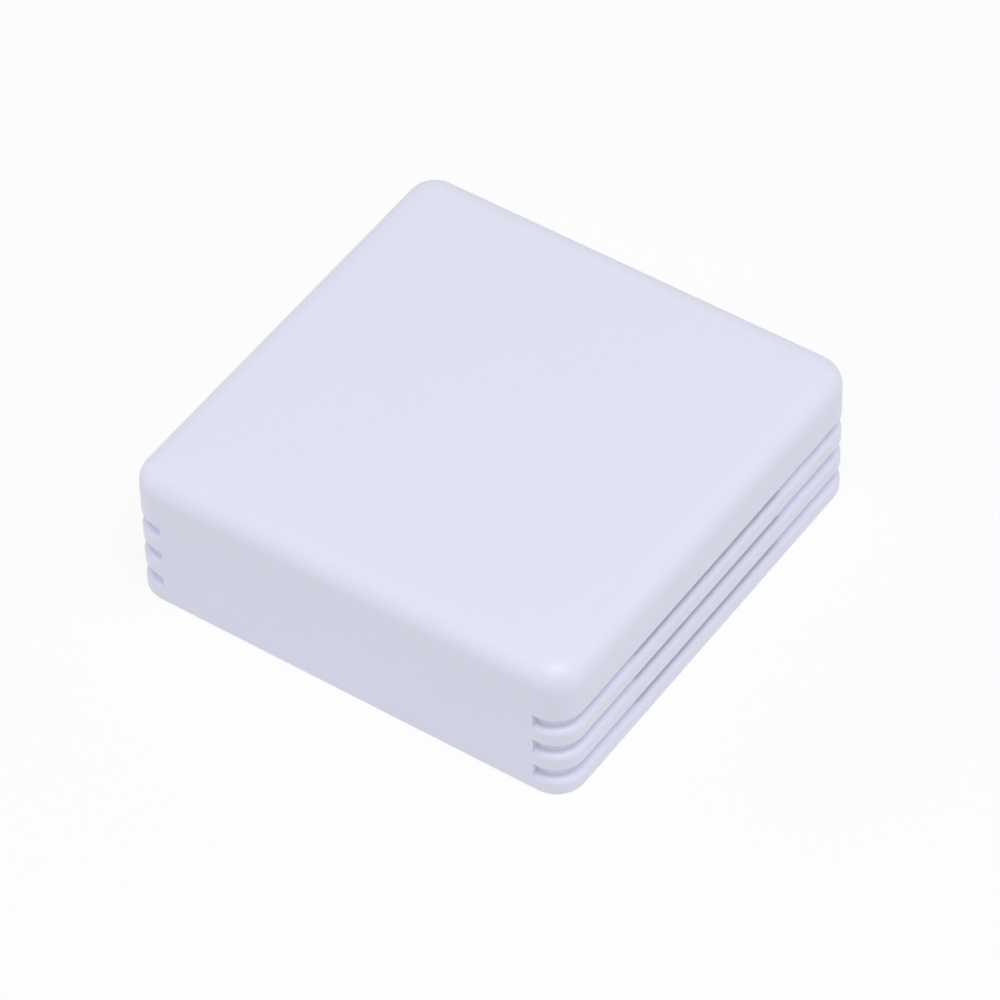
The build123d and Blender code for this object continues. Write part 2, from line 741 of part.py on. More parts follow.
capacitor_base.part.label = "capacitor_base"
export_step(capacitor_base.part, "parts/capacitor_base.step")

with BuildPart() as capacitor_can:
    with BuildSketch(Plane.XY.offset(board_top + capacitor_base_height)):
        with Locations(capacitor_place):
            Circle(capacitor_diameter / 2)
    extrude(amount=capacitor_height)
    fillet(capacitor_can.edges().group_by(Axis.Z)[-1], radius=capacitor_edge_radius)

capacitor_can.part.label = "capacitor_can"
export_step(capacitor_can.part, "parts/capacitor_can.step")

# Crystal
with BuildPart() as crystal:
    with BuildSketch(Plane.XY.offset(board_top)):
        with Locations(crystal_place):
            Rectangle(crystal_length, crystal_width)
    extrude(amount=crystal_height)
    fillet(crystal.edges().group_by(Axis.Z)[-1], radius=crystal_edge_radius)

crystal.part.label = "crystal"
export_step(crystal.part, "parts/crystal.step")

# Regulator chip and its five leads
with BuildPart() as regulator_chip:
    with BuildSketch(Plane.XY.offset(board_top)):
        with Locations(regulator_place):
            Rectangle(regulator_length, regulator_width)
    extrude(amount=regulator_height)
    chamfer(regulator_chip.edges().group_by(Axis.Z)[-1], length=regulator_chamfer)

regulator_chip.part.label = "regulator_chip"
export_step(regulator_chip.part, "parts/regulator_chip.step")

with BuildPart() as regulator_leads:
    lead_line = (regulator_width + lead_reach) / 2
    with BuildSketch(Plane.XY.offset(board_top)):
        with Locations((regulator_place[0], regulator_place[1] - lead_line)):
            with GridLocations(lead_pitch, 1, 3, 1):
                Rectangle(lead_width, lead_reach)
        with Locations((regulator_place[0], regulator_place[1] + lead_line)):
            with GridLocations(2 * lead_pitch, 1, 2, 1):
                Rectangle(lead_width, lead_reach)
    extrude(amount=lead_thickness)

regulator_leads.part.label = "regulator_leads"
export_step(regulator_leads.part, "parts/regulator_leads.step")

# Rows of chip capacitors and chip resistors, with their tin ends
with BuildPart() as chip_capacitors:
    with BuildSketch(Plane.XY.offset(board_top)):
        with Locations(chip_capacitor_place):
            with GridLocations(1, chip_pitch, 1, chip_capacitor_count):
                Rectangle(chip_length - 2 * chip_end, chip_width)
    extrude(amount=chip_capacitor_height)

chip_capacitors.part.label = "chip_capacitors"
export_step(chip_capacitors.part, "parts/chip_capacitors.step")

with BuildPart() as chip_resistors:
    with BuildSketch(Plane.XY.offset(board_top)):
        with Locations(chip_resistor_place):
            with GridLocations(1, chip_pitch, 1, chip_resistor_count):
                Rectangle(chip_length - 2 * chip_end, chip_width)
    extrude(amount=chip_resistor_height)

chip_resistors.part.label = "chip_resistors"
export_step(chip_resistors.part, "parts/chip_resistors.step")

with BuildPart() as chip_ends:
    for place, count, height in (
        (chip_capacitor_place, chip_capacitor_count, chip_capacitor_height),
        (chip_resistor_place, chip_resistor_count, chip_resistor_height),
    ):
        with BuildSketch(Plane.XY.offset(board_top)):
            with Locations(place):
                with GridLocations(chip_length - chip_end, chip_pitch, 2, count):
                    Rectangle(chip_end, chip_width)
        extrude(amount=height)

chip_ends.part.label = "chip_ends"
export_step(chip_ends.part, "parts/chip_ends.step")
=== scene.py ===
import json
import math

import bmesh
import bpy
from mathutils import Matrix, Vector


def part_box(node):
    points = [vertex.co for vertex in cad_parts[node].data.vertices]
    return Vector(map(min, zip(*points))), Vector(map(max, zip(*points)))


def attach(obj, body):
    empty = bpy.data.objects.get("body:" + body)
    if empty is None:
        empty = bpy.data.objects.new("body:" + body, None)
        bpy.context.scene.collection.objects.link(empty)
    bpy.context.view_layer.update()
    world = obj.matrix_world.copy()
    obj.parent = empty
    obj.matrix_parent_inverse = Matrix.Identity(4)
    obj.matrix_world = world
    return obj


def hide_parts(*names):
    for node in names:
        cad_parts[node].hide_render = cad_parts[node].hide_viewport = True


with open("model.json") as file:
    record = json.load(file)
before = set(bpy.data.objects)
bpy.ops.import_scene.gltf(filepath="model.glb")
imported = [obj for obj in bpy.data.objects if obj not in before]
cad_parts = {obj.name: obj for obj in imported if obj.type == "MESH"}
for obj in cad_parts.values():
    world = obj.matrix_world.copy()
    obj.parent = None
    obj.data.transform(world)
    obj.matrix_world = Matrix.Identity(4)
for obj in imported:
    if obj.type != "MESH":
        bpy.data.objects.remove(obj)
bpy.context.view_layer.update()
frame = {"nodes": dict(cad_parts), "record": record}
nodes = frame["nodes"]
mm = 0.001
pureWhite = (1, 1, 1, 1)
positiveWay = {"cell_1": -1, "cell_2": 1}  # the way along Y that each cell's positive end looks


def editAll():
    bpy.ops.object.mode_set(mode="EDIT")
    bpy.ops.mesh.select_all(action="SELECT")


def leaveEdit():
    bpy.ops.object.mode_set(mode="OBJECT")


# Camera: where the photograph was taken from, with its roll and framing
cameraView = {
    "target": (0, 0, 9.5),  # millimetres, the middle of the sensor
    "azimuth": 35.41,  # degrees
    "elevation": 46.75,
    "roll": -1.49,
    "distance": 708.2,  # millimetres
    "lens": 221.41,
    "shiftX": 0.00588,
    "shiftY": -0.02341,
}


def aimFrom(azimuth, elevation):
    turn = math.radians(azimuth)
    rise = math.radians(elevation)
    return Vector((math.sin(turn) * math.cos(rise), -math.cos(turn) * math.cos(rise), math.sin(rise)))


def addCamera(view):
    outward = aimFrom(view["azimuth"], view["elevation"])
    bpy.ops.object.camera_add(location=(Vector(view["target"]) + view["distance"] * outward) * mm)
    camera = bpy.context.object
    camera.name = "photoCamera"
    look = (-outward).to_track_quat("-Z", "Y").to_matrix()
    camera.rotation_euler = (look @ Matrix.Rotation(math.radians(view["roll"]), 3, "Z")).to_euler()
    camera.data.lens = view["lens"]
    camera.data.shift_x = view["shiftX"]
    camera.data.shift_y = view["shiftY"]
    bpy.context.scene.camera = camera


# Light: a pale room, wide lamps above, at the right and at both sides, and a dim one for the underside
roomLight = {"strength": 0.3, "color": (1.0, 1.0, 1.0, 1.0)}
lampShape = {"size": 0.6, "distance": 0.8}  # metres
lamps = {
    "overheadLamp": {"azimuth": 35, "elevation": 65, "power": 2.37, "inGloss": True},
    "highRightLamp": {"azimuth": 90, "elevation": 70, "power": 1.73, "inGloss": True},
    # the two low ones would glare on the top, seen from across
    "farRightLamp": {"azimuth": 145, "elevation": 20, "power": 0.81, "inGloss": False},
    "leftLamp": {"azimuth": 290, "elevation": 20, "power": 1.47, "inGloss": False},
    "underLamp": {"azimuth": 35, "elevation": -60, "power": 1.6, "inGloss": True},
}


def addLamp(name, lamp):
    outward = aimFrom(lamp["azimuth"], lamp["elevation"])
    bpy.ops.object.light_add(type="AREA", location=outward * lampShape["distance"])
    light = bpy.context.object
    light.name = name
    light.rotation_euler = (-outward).to_track_quat("-Z", "Y").to_euler()
    light.data.shape = "DISK"
    light.data.size = lampShape["size"]
    light.data.energy = lamp["power"]
    light.visible_glossy = lamp["inGloss"]


# Shader nodes. What goes into a socket is another node's socket or a plain value.
def feed(tree, socket, value):
    if isinstance(value, bpy.types.NodeSocket):
        tree.links.new(value, socket)
    else:
        socket.default_value = value


def addNode(tree, kind, inputs=None, **settings):
    node = tree.nodes.new("ShaderNode" + kind)
    for name, value in settings.items():
        setattr(node, name, value)
    for name, value in (inputs or {}).items():
        feed(tree, node.inputs[name], value)
    return node


def combine(tree, operation, *values):
    return addNode(tree, "Math", dict(enumerate(values)), operation=operation).outputs[0]


def mixShaders(tree, share, first, second):
    return addNode(tree, "MixShader", {0: share, 1: first.outputs[0], 2: second.outputs[0]})


def seenRay(tree):
    # 1 for what the camera sees, also in gloss and through glass
    path = addNode(tree, "LightPath")
    seen = path.outputs["Is Camera Ray"]
    for ray in ("Is Glossy Ray", "Is Transmission Ray"):
        seen = combine(tree, "MAXIMUM", seen, path.outputs[ray])
    return seen


def startMaterial(name):
    material = bpy.data.materials.new(name)
    material.use_nodes = True
    return material, material.node_tree, material.node_tree.nodes["Principled BSDF"]


def addRoom(look):
    world = bpy.data.worlds.new("paleRoom")
    bpy.context.scene.world = world
    world.use_nodes = True
    tree = world.node_tree
    tree.nodes.clear()
    room = addNode(tree, "Background", {"Color": look["color"], "Strength": look["strength"]})
    white = addNode(tree, "Background", {"Color": pureWhite, "Strength": 1.0})
    addNode(tree, "OutputWorld", {"Surface": mixShaders(tree, seenRay(tree), room, white).outputs[0]})


# Floor: nearly white to the camera, with the soft shadow left in. It is clear from below, and open under the
# sensor, so that the underside can be looked at. Its lengths are metres.
floorLook = {"size": 6.0, "opening": 0.054, "level": -0.00001, "color": (0.93, 0.93, 0.93, 1),
             "whiteShare": 0.86, "nearRay": 0.00005}


def floorMaterial(look):
    material, tree = startMaterial("paleFloor")[:2]
    tree.nodes.clear()
    matte = addNode(tree, "BsdfDiffuse", {"Color": look["color"]})
    glow = addNode(tree, "Emission", {"Color": pureWhite, "Strength": 1.0})
    whiten = mixShaders(tree, combine(tree, "MULTIPLY", seenRay(tree), look["whiteShare"]), matte, glow)
    # rays from below, or from a rim that rests on the floor, pass through it
    path = addNode(tree, "LightPath")
    face = addNode(tree, "NewGeometry")
    near = combine(tree, "LESS_THAN", path.outputs["Ray Length"], look["nearRay"])
    through = combine(tree, "MAXIMUM", face.outputs["Backfacing"], near)
    surface = mixShaders(tree, through, whiten, addNode(tree, "BsdfTransparent"))
    addNode(tree, "OutputMaterial", {"Surface": surface.outputs[0]})
    return material


def addFloor(look):
    bpy.ops.mesh.primitive_plane_add(size=look["size"], location=(0, 0, look["level"]))
    floor = bpy.context.object
    floor.name = "paleFloor"
    editAll()
    bpy.ops.mesh.inset(thickness=(look["size"] - look["opening"]) / 2)
    bpy.ops.mesh.delete(type="FACE")
    leaveEdit()
    floor.data.materials.append(floorMaterial(look))


bpy.ops.object.select_all(action="DESELECT")
bpy.context.scene.view_settings.view_transform = "Standard"
addCamera(cameraView)
addRoom(roomLight)
for name, lamp in lamps.items():
    addLamp(name, lamp)
addFloor(floorLook)
print("camera, light and floor are in place")


# Building blocks of the materials. Lengths in looks are millimetres. A look's drift is how far its tone
# strays and over what size, its rough is its roughness and how far that strays, and its grain is a size and
# a depth.
noiseSpan = (0.3, 0.7)  # most of a noise's values lie between these
wearFineness = 3  # roughness varies over a third of the size that the tone drifts over
coatRoughness = 0.12
bands = {"period": 0.314, "wander": 0.6}  # the spacing of bands at a scale of 1, and how much they stray


def shade(color, factor):
    return tuple(min(1.0, part * factor) for part in color[:3]) + (1,)


def objectPlace(tree):
    return addNode(tree, "TexCoord").outputs["Object"]


def addNoise(tree, size, detail=2.0, stretch=(1, 1, 1)):
    # cloudy variation whose blobs are about as large as size
    mapping = addNode(tree, "Mapping", {"Vector": objectPlace(tree), "Scale": stretch})
    inputs = {"Vector": mapping.outputs[0], "Scale": 1 / (size * mm), "Detail": detail}
    return addNode(tree, "TexNoise", inputs).outputs["Fac"]


def addWave(tree, direction, size):
    scale = bands["period"] / (size * mm)
    inputs = {"Vector": objectPlace(tree), "Scale": scale, "Distortion": bands["wander"]}
    return addNode(tree, "TexWave", inputs, bands_direction=direction).outputs["Fac"]


def mixColors(tree, amount, first, second):
    return addNode(tree, "Mix", {0: amount, 6: first, 7: second}, data_type="RGBA").outputs[2]


def spread(tree, noise, low, high):
    inputs = {0: noise, 1: noiseSpan[0], 2: noiseSpan[1], 3: low, 4: high}
    return addNode(tree, "MapRange", inputs).outputs[0]


def addBump(tree, shader, height, depth):
    # lies over a bump that the shader already has
    bump = addNode(tree, "Bump", {"Distance": depth * mm, "Height": height})
    normal = shader.inputs["Normal"]
    if normal.is_linked:
        feed(tree, bump.inputs["Normal"], normal.links[0].from_socket)
    feed(tree, normal, bump.outputs[0])


def plainFinish(tree, shader, look):
    # tone that drifts a little, roughness that varies, and a fine grain
    color, (drift, driftSize) = look["color"], look["drift"]
    (rough, wear), (grainSize, grainDepth) = look["rough"], look["grain"]
    tone = mixColors(tree, addNoise(tree, driftSize), shade(color, 1 - drift), shade(color, 1 + drift))
    worn = addNoise(tree, driftSize / wearFineness, detail=3.0)
    feed(tree, shader.inputs["Base Color"], tone)
    feed(tree, shader.inputs["Roughness"], spread(tree, worn, rough - wear, rough + wear))
    shader.inputs["Metallic"].default_value = look.get("metallic", 0.0)
    shader.inputs["Specular IOR Level"].default_value = look.get("specular", 0.5)
    if "coat" in look:
        shader.inputs["Coat Weight"].default_value = look["coat"]
        shader.inputs["Coat Roughness"].default_value = coatRoughness
    grain = addNoise(tree, grainSize, stretch=look.get("stretch", (1, 1, 1)))
    addBump(tree, shader, grain, grainDepth)
    return tone


finishes = {
    # moulded plastics: tone, roughness, and the grain that the mould leaves
    "white_shell": {"color": (0.775, 0.792, 0.93), "drift": (0.006, 9), "rough": (0.4, 0.03),
                    "grain": (0.16, 0.0015)},
    "white_plate": {"color": (0.72, 0.73, 0.80), "drift": (0.012, 7), "rough": (0.62, 0.05),
                    "grain": (0.22, 0.004), "specular": 0.4},
    "black_holder": {"color": (0.022, 0.022, 0.024), "drift": (0.15, 4), "rough": (0.5, 0.09),
                     "grain": (0.2, 0.006)},
    "chip_black": {"color": (0.024, 0.024, 0.027), "drift": (0.12, 0.8), "rough": (0.42, 0.08),
                   "grain": (0.06, 0.003)},
    "button_plastic": {"color": (0.60, 0.10, 0.045), "drift": (0.05, 1.0), "rough": (0.4, 0.06),
                       "grain": (0.09, 0.002)},
    "antenna_white": {"color": (0.80, 0.78, 0.72), "drift": (0.03, 0.7), "rough": (0.45, 0.06),
                      "grain": (0.07, 0.002)},
    "ceramic_tan": {"color": (0.47, 0.30, 0.16), "drift": (0.08, 0.4), "rough": (0.38, 0.08),
                    "grain": (0.05, 0.002)},
    "resistor_black": {"color": (0.03, 0.03, 0.036), "drift": (0.1, 0.3), "rough": (0.25, 0.06),
                       "grain": (0.05, 0.0012), "coat": 0.5},
    # metals
    "screw_steel": {"color": (0.60, 0.60, 0.62), "drift": (0.06, 1.2), "rough": (0.32, 0.1),
                    "grain": (0.15, 0.002), "metallic": 1.0},
    "nickel": {"color": (0.74, 0.71, 0.66), "drift": (0.05, 2.0), "rough": (0.24, 0.08),
               "grain": (0.12, 0.0015), "metallic": 1.0, "stretch": (1, 6, 1)},
    "shield_tin": {"color": (0.68, 0.68, 0.67), "drift": (0.05, 2.5), "rough": (0.34, 0.07),
                   "grain": (0.1, 0.0018), "metallic": 1.0, "stretch": (1, 9, 1)},
    "tin": {"color": (0.72, 0.72, 0.73), "drift": (0.06, 0.5), "rough": (0.28, 0.1), "grain": (0.12, 0.004),
            "metallic": 1.0},
    "cell_can": {"color": (0.76, 0.76, 0.77), "drift": (0.03, 3), "rough": (0.22, 0.07),
                 "grain": (0.12, 0.0012), "metallic": 1.0, "stretch": (1, 0.15, 1)},
    # copper under the mask, printing, gold on bare pads, and waxed paper over the foam pad's glue
    "maskedCopper": {"color": (0.05, 0.33, 0.12), "drift": (0.08, 3), "rough": (0.28, 0.05),
                     "grain": (0.2, 0.002), "coat": 0.35},
    "boardPrint": {"color": (0.80, 0.80, 0.77), "drift": (0.04, 0.6), "rough": (0.6, 0.06),
                   "grain": (0.08, 0.004)},
    "padGold": {"color": (0.83, 0.60, 0.28), "drift": (0.05, 0.8), "rough": (0.3, 0.08),
                "grain": (0.1, 0.002), "metallic": 1.0},
    "linerPaper": {"color": (0.70, 0.66, 0.55), "drift": (0.03, 3), "rough": (0.42, 0.08),
                   "grain": (0.4, 0.004), "stretch": (1, 3, 1)},
}


def plainMaterial(name):
    material, tree, shader = startMaterial(name)
    plainFinish(tree, shader, finishes[name])
    return material


# Foam tape: open cells at the surface
foamLook = {"color": (0.78, 0.78, 0.76), "drift": (0.04, 5), "rough": (0.85, 0.05), "grain": (0.3, 0.02),
            "specular": 0.2, "cell": 0.35, "cellDepth": 0.05}


def foamMaterial(look):
    material, tree, shader = startMaterial("foamPad")
    plainFinish(tree, shader, look)
    cells = addNode(tree, "TexVoronoi", {"Vector": objectPlace(tree), "Scale": 1 / (look["cell"] * mm)})
    addBump(tree, shader, cells.outputs["Distance"], look["cellDepth"])
    return material


# Circuit boards: solder mask over woven glass, and bare laminate in layers at their edges
boardLook = {"color": (0.018, 0.17, 0.07), "drift": (0.12, 6), "rough": (0.3, 0.06), "grain": (0.5, 0.004),
             "coat": 0.35, "edge": (0.42, 0.36, 0.16, 1), "layer": 0.2, "layerShade": 0.7, "weave": 0.55,
             "weaveDepth": 0.004}
radioLook = {**boardLook, "color": (0.012, 0.03, 0.09), "drift": (0.12, 4), "rough": (0.3, 0.05),
             "grain": (0.4, 0.003), "edge": (0.36, 0.31, 0.15, 1), "weave": 0.45, "weaveDepth": 0.003}
edgeLimit = 0.5  # a face whose normal rises less than this is an edge of its board


def boardMaterial(name, look):
    material, tree, shader = startMaterial(name)
    tone = plainFinish(tree, shader, look)
    split = addNode(tree, "SeparateXYZ", {0: addNode(tree, "TexCoord").outputs["Normal"]})
    onEdge = combine(tree, "LESS_THAN", combine(tree, "ABSOLUTE", split.outputs["Z"]), edgeLimit)
    edge = look["edge"]
    layers = mixColors(tree, addWave(tree, "Z", look["layer"]), edge, shade(edge, look["layerShade"]))
    feed(tree, shader.inputs["Base Color"], mixColors(tree, onEdge, tone, layers))
    weave = combine(tree, "MULTIPLY", addWave(tree, "X", look["weave"]), addWave(tree, "Y", look["weave"]))
    addBump(tree, shader, weave, look["weaveDepth"])
    return material


# Cell sleeves: a printed film with a pale band at the positive end and signs at both ends
sleeveLook = {"color": (0.10, 0.14, 0.20), "band": (0.62, 0.64, 0.66, 1), "line": (0.75, 0.55, 0.20, 1),
              "sign": (0.82, 0.83, 0.84, 1), "drift": (0.03, 5), "rough": (0.28, 0.05),
              "grain": (0.25, 0.002), "coat": 0.6, "bandStart": 9.5, "lineWidth": 0.6, "signAt": 17.0,
              "signArm": 1.6, "signHalf": 0.35}


def within(tree, value, center, half):
    apart = combine(tree, "ABSOLUTE", combine(tree, "SUBTRACT", value, center))
    return combine(tree, "LESS_THAN", apart, half)


def sleeveMaterial(name, look, axis, way):
    # axis is a point on the cell's axis, way is +1 where its positive end looks along +Y
    material, tree, shader = startMaterial(name)
    tone = plainFinish(tree, shader, look)
    split = addNode(tree, "SeparateXYZ", {0: objectPlace(tree)})
    across = combine(tree, "SUBTRACT", split.outputs["X"], axis.x)
    along = combine(tree, "MULTIPLY", split.outputs["Y"], way)
    upper = combine(tree, "GREATER_THAN", split.outputs["Z"], axis.z)
    bandStart = look["bandStart"] * mm
    tone = mixColors(tree, combine(tree, "GREATER_THAN", along, bandStart), tone, look["band"])
    tone = mixColors(tree, within(tree, along, bandStart, look["lineWidth"] * mm / 2), tone, look["line"])
    # a plus at the positive end and a minus at the other, on the upper side
    arm, half = look["signArm"] * mm, look["signHalf"] * mm
    for end, ink in ((1, look["color"] + (1,)), (-1, look["sign"])):
        here = end * look["signAt"] * mm
        bar = combine(tree, "MULTIPLY", within(tree, across, 0, arm), within(tree, along, here, half))
        if end > 0:
            post = combine(tree, "MULTIPLY", within(tree, across, 0, half), within(tree, along, here, arm))
            bar = combine(tree, "MAXIMUM", bar, post)
        tone = mixColors(tree, combine(tree, "MULTIPLY", bar, upper), tone, ink)
    feed(tree, shader.inputs["Base Color"], tone)
    return material


# Status lamp: clear resin, a little cloudy
lampLook = {"color": (0.93, 0.92, 0.86), "cloudSize": 0.6, "cloudShade": 0.94, "roughness": 0.12,
            "clear": 0.85, "bending": 1.5, "grain": (0.3, 0.002)}


def lampMaterial(look):
    material, tree, shader = startMaterial("lampClear")
    cloud = shade(look["color"], look["cloudShade"])
    tint = mixColors(tree, addNoise(tree, look["cloudSize"]), look["color"] + (1,), cloud)
    feed(tree, shader.inputs["Base Color"], tint)
    shader.inputs["Roughness"].default_value = look["roughness"]
    shader.inputs["Transmission Weight"].default_value = look["clear"]
    shader.inputs["IOR"].default_value = look["bending"]
    grainSize, grainDepth = look["grain"]
    addBump(tree, shader, addNoise(tree, grainSize), grainDepth)
    return material


materials = {name: plainMaterial(name) for name in finishes}
materials["foam_pad"] = foamMaterial(foamLook)
materials["green_board"] = boardMaterial("greenBoard", boardLook)
materials["radio_mask"] = boardMaterial("radioMask", radioLook)
materials["lamp_clear"] = lampMaterial(lampLook)

for part in frame["record"]["subparts"]:
    name = part["node"]
    if part["material_slot"] == "cell_sleeve":
        low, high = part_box(name)
        way = positiveWay[name.removesuffix("_sleeve")]
        material = sleeveMaterial(name, sleeveLook, (low + high) / 2, way)
    else:
        material = materials[part["material_slot"]]
    nodes[name].material_slots[0].material = material
print("the solids have their finishes")


# Modelling steps that the new pieces share. Sizes and places are millimetres.
parallel = 0.9  # two directions whose product is over this run the same way
square = 0.1  # and under this they are square to each other
onLevel = 0.01  # how near to a height a point counts as on it
weldDistance = 0.001  # nearer points become one
filletShape = {"share": 0.92, "hollow": 0.25}  # of a fillet's smaller side, and its curve's profile


def applyPlace():
    bpy.ops.object.transform_apply(location=True, rotation=True, scale=True)


def metres(*values):
    return [value * mm for value in values]


def lowHigh(node):
    # the two corners of a solid's box
    low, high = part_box(node)
    return low / mm, high / mm


def middleOf(node):
    return sum(lowHigh(node), Vector()) / 2


def boxSides(node, past=0):
    # left, right, near and far, moved outward
    low, high = lowHigh(node)
    return low.x - past, high.x + past, low.y - past, high.y + past


def choose(*pieces):
    bpy.ops.object.select_all(action="DESELECT")
    for piece in pieces:
        piece.select_set(True)
    bpy.context.view_layer.objects.active = pieces[0]


def joinAll(pieces):
    choose(*pieces)
    if len(pieces) > 1:
        bpy.ops.object.join()
    return pieces[0]


def addBlock(center, size):
    bpy.ops.mesh.primitive_cube_add(size=1, location=metres(*center), scale=metres(*size))
    applyPlace()
    return bpy.context.object


def addRod(center, radius, length, axis="Z", sides=32, topRadius=None):
    turn = {"Y": (math.pi / 2, 0, 0), "Z": (0, 0, 0)}[axis]
    top = radius if topRadius is None else topRadius
    bpy.ops.mesh.primitive_cone_add(vertices=sides, radius1=radius * mm, radius2=top * mm, depth=length * mm,
                                    location=metres(*center), rotation=turn)
    applyPlace()
    return bpy.context.object


def pick(piece, kind, wanted):
    # leaves the piece in edit mode with what is wanted selected: a FACE by its middle and its normal, or an
    # EDGE by its middle and its direction
    bpy.ops.object.mode_set(mode="EDIT")
    bpy.ops.mesh.select_mode(type=kind)
    bpy.ops.mesh.select_all(action="DESELECT")
    shape = bmesh.from_edit_mesh(piece.data)
    if kind == "FACE":
        for face in shape.faces:
            face.select_set(wanted(face.calc_center_median() / mm, face.normal))
    else:
        for edge in shape.edges:
            first, second = (vert.co / mm for vert in edge.verts)
            edge.select_set(wanted((first + second) / 2, (second - first).normalized()))
    bmesh.update_edit_mesh(piece.data)


def roundEdges(piece, wanted, radius, segments, profile=0.5):
    pick(piece, "EDGE", wanted)
    bpy.ops.mesh.bevel(offset=radius * mm, segments=segments, profile=profile, affect="EDGES")
    leaveEdit()


def roundUprights(piece, radius, segments):
    roundEdges(piece, lambda middle, way: abs(way.z) > parallel, radius, segments)


def atLevel(level):
    # picks the level edges at one height
    return lambda middle, way: abs(middle.z - level) < onLevel and abs(way.z) < square


def softenEdges(piece, radius, segments=2, angle=40):
    # a Bevel modifier on the sharp edges, applied
    choose(piece)
    bevel = piece.modifiers.new("softEdges", "BEVEL")
    bevel.width = radius * mm
    bevel.segments = segments
    bevel.limit_method = "ANGLE"
    bevel.angle_limit = math.radians(angle)
    bpy.ops.object.modifier_apply(modifier=bevel.name)


def cutThrough(point, normal, **keeping):
    # cuts everything along a plane, in edit mode, and leaves the cut selected
    bpy.ops.mesh.select_all(action="SELECT")
    bpy.ops.mesh.bisect(plane_co=metres(*point), plane_no=normal, **keeping)


def keepSide(piece, point, outward):
    # keeps what lies behind a plane, closed
    choose(piece)
    editAll()
    cutThrough(point, outward, clear_outer=True, use_fill=True)
    leaveEdit()


def addRing(center, outer, inner, length, axis="Z", sides=40):
    # a rod whose ends are inset and opened, with no wall round the opening
    ring = addRod(center, outer, length, axis, sides)
    along = Vector([name == axis for name in "XYZ"])
    pick(ring, "FACE", lambda place, normal: abs(normal.dot(along)) > parallel)
    bpy.ops.mesh.inset(thickness=(outer - inner) * mm)
    bpy.ops.mesh.delete(type="FACE")
    leaveEdit()
    return ring


def copyTo(piece, places):
    # one finished shape, modelled over the origin, copied to each place
    copies = []
    for x, y in places:
        choose(piece)
        bpy.ops.object.duplicate()
        bpy.ops.transform.translate(value=metres(x, y, 0))
        applyPlace()
        copies.append(bpy.context.object)
    bpy.data.objects.remove(piece)
    return joinAll(copies)


def addFillets(node, past, rows, width, reach, height, level):
    # wedges that hollow in, in rows along Y, against both ends of a solid or of metal that goes past it
    left, right = boxSides(node, past)[:2]
    fillets = []
    for way, edge in ((-1, left), (1, right)):
        wedge = addBlock((way * reach / 2, 0, level + height / 2), (reach, width, height))
        roundEdges(wedge, lambda middle, line: abs(line.y) > parallel and middle.z > level + height / 2
                   and way * middle.x > reach / 2, min(reach, height) * filletShape["share"], segments=5,
                   profile=filletShape["hollow"])
        fillets.append(copyTo(wedge, [(edge, y) for y in rows]))
    return joinAll(fillets)


def addEnds(node, length, girth, height, skin, soft):
    # metal wrapped round both ends of a solid
    low, high = lowHigh(node)
    ends = []
    for way, edge in ((1, low.x), (-1, high.x)):
        end = addBlock((edge + way * (length / 2 - skin), (low.y + high.y) / 2, low.z + height / 2),
                       (length, girth, height))
        softenEdges(end, soft)
        ends.append(end)
    return joinAll(ends)


def addChain(points):
    # edges through points, extruded from the first
    bpy.ops.mesh.primitive_plane_add(size=mm, location=metres(*points[0]))
    editAll()
    bpy.ops.mesh.select_mode(type="VERT")
    bpy.ops.mesh.merge(type="CENTER")
    for start, end in zip(points, points[1:]):
        step = metres(*(after - before for before, after in zip(start, end)))
        bpy.ops.mesh.extrude_vertices_move(TRANSFORM_OT_translate={"value": step})
    leaveEdit()
    applyPlace()
    return bpy.context.object


def addWire(chains, thickness, roundness):
    # a round wire along each chain
    joinAll(chains)
    bpy.ops.object.convert(target="CURVE")
    curve = bpy.context.object.data
    curve.bevel_depth = thickness / 2 * mm
    curve.bevel_resolution = roundness
    curve.use_fill_caps = True
    bpy.ops.object.convert(target="MESH")
    return bpy.context.object


def addLines(routes, width, height, level):
    # flat strips with round edges along routes of points, such as copper or print
    chains = [addChain([(x, y, level) for x, y in route]) for route in routes]
    strips = addWire(chains, width, roundness=1)
    editAll()
    bpy.ops.transform.resize(value=(1, 1, height / width), center_override=metres(0, 0, level))
    leaveEdit()
    return strips


def settle(piece, name, finish, body="base", smoothAngle=35):
    # the last steps of every new piece
    choose(piece)
    applyPlace()
    editAll()
    bpy.ops.mesh.remove_doubles(threshold=weldDistance * mm)
    bpy.ops.mesh.normals_make_consistent(inside=False)
    leaveEdit()
    bpy.ops.object.shade_smooth_by_angle(angle=math.radians(smoothAngle))
    piece.name = name
    piece.data.name = name
    piece.data.materials.clear()
    piece.data.materials.append(materials[finish])
    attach(piece, body)
    return piece


boardTop = lowHigh("circuit_board")[1].z
solderFoot = boardTop - 0.02  # solder reaches a little into the board


# Foam pad: soft tape with a drawn-in waist, and its liner split so that it peels
padSizes = {"cornerRadius": 2.0, "linerThickness": 0.08, "waistDraw": 0.25, "shoulderShare": 0.7,
            "edgeRadius": 0.1, "linerGap": 0.5, "splitLean": 0.35}


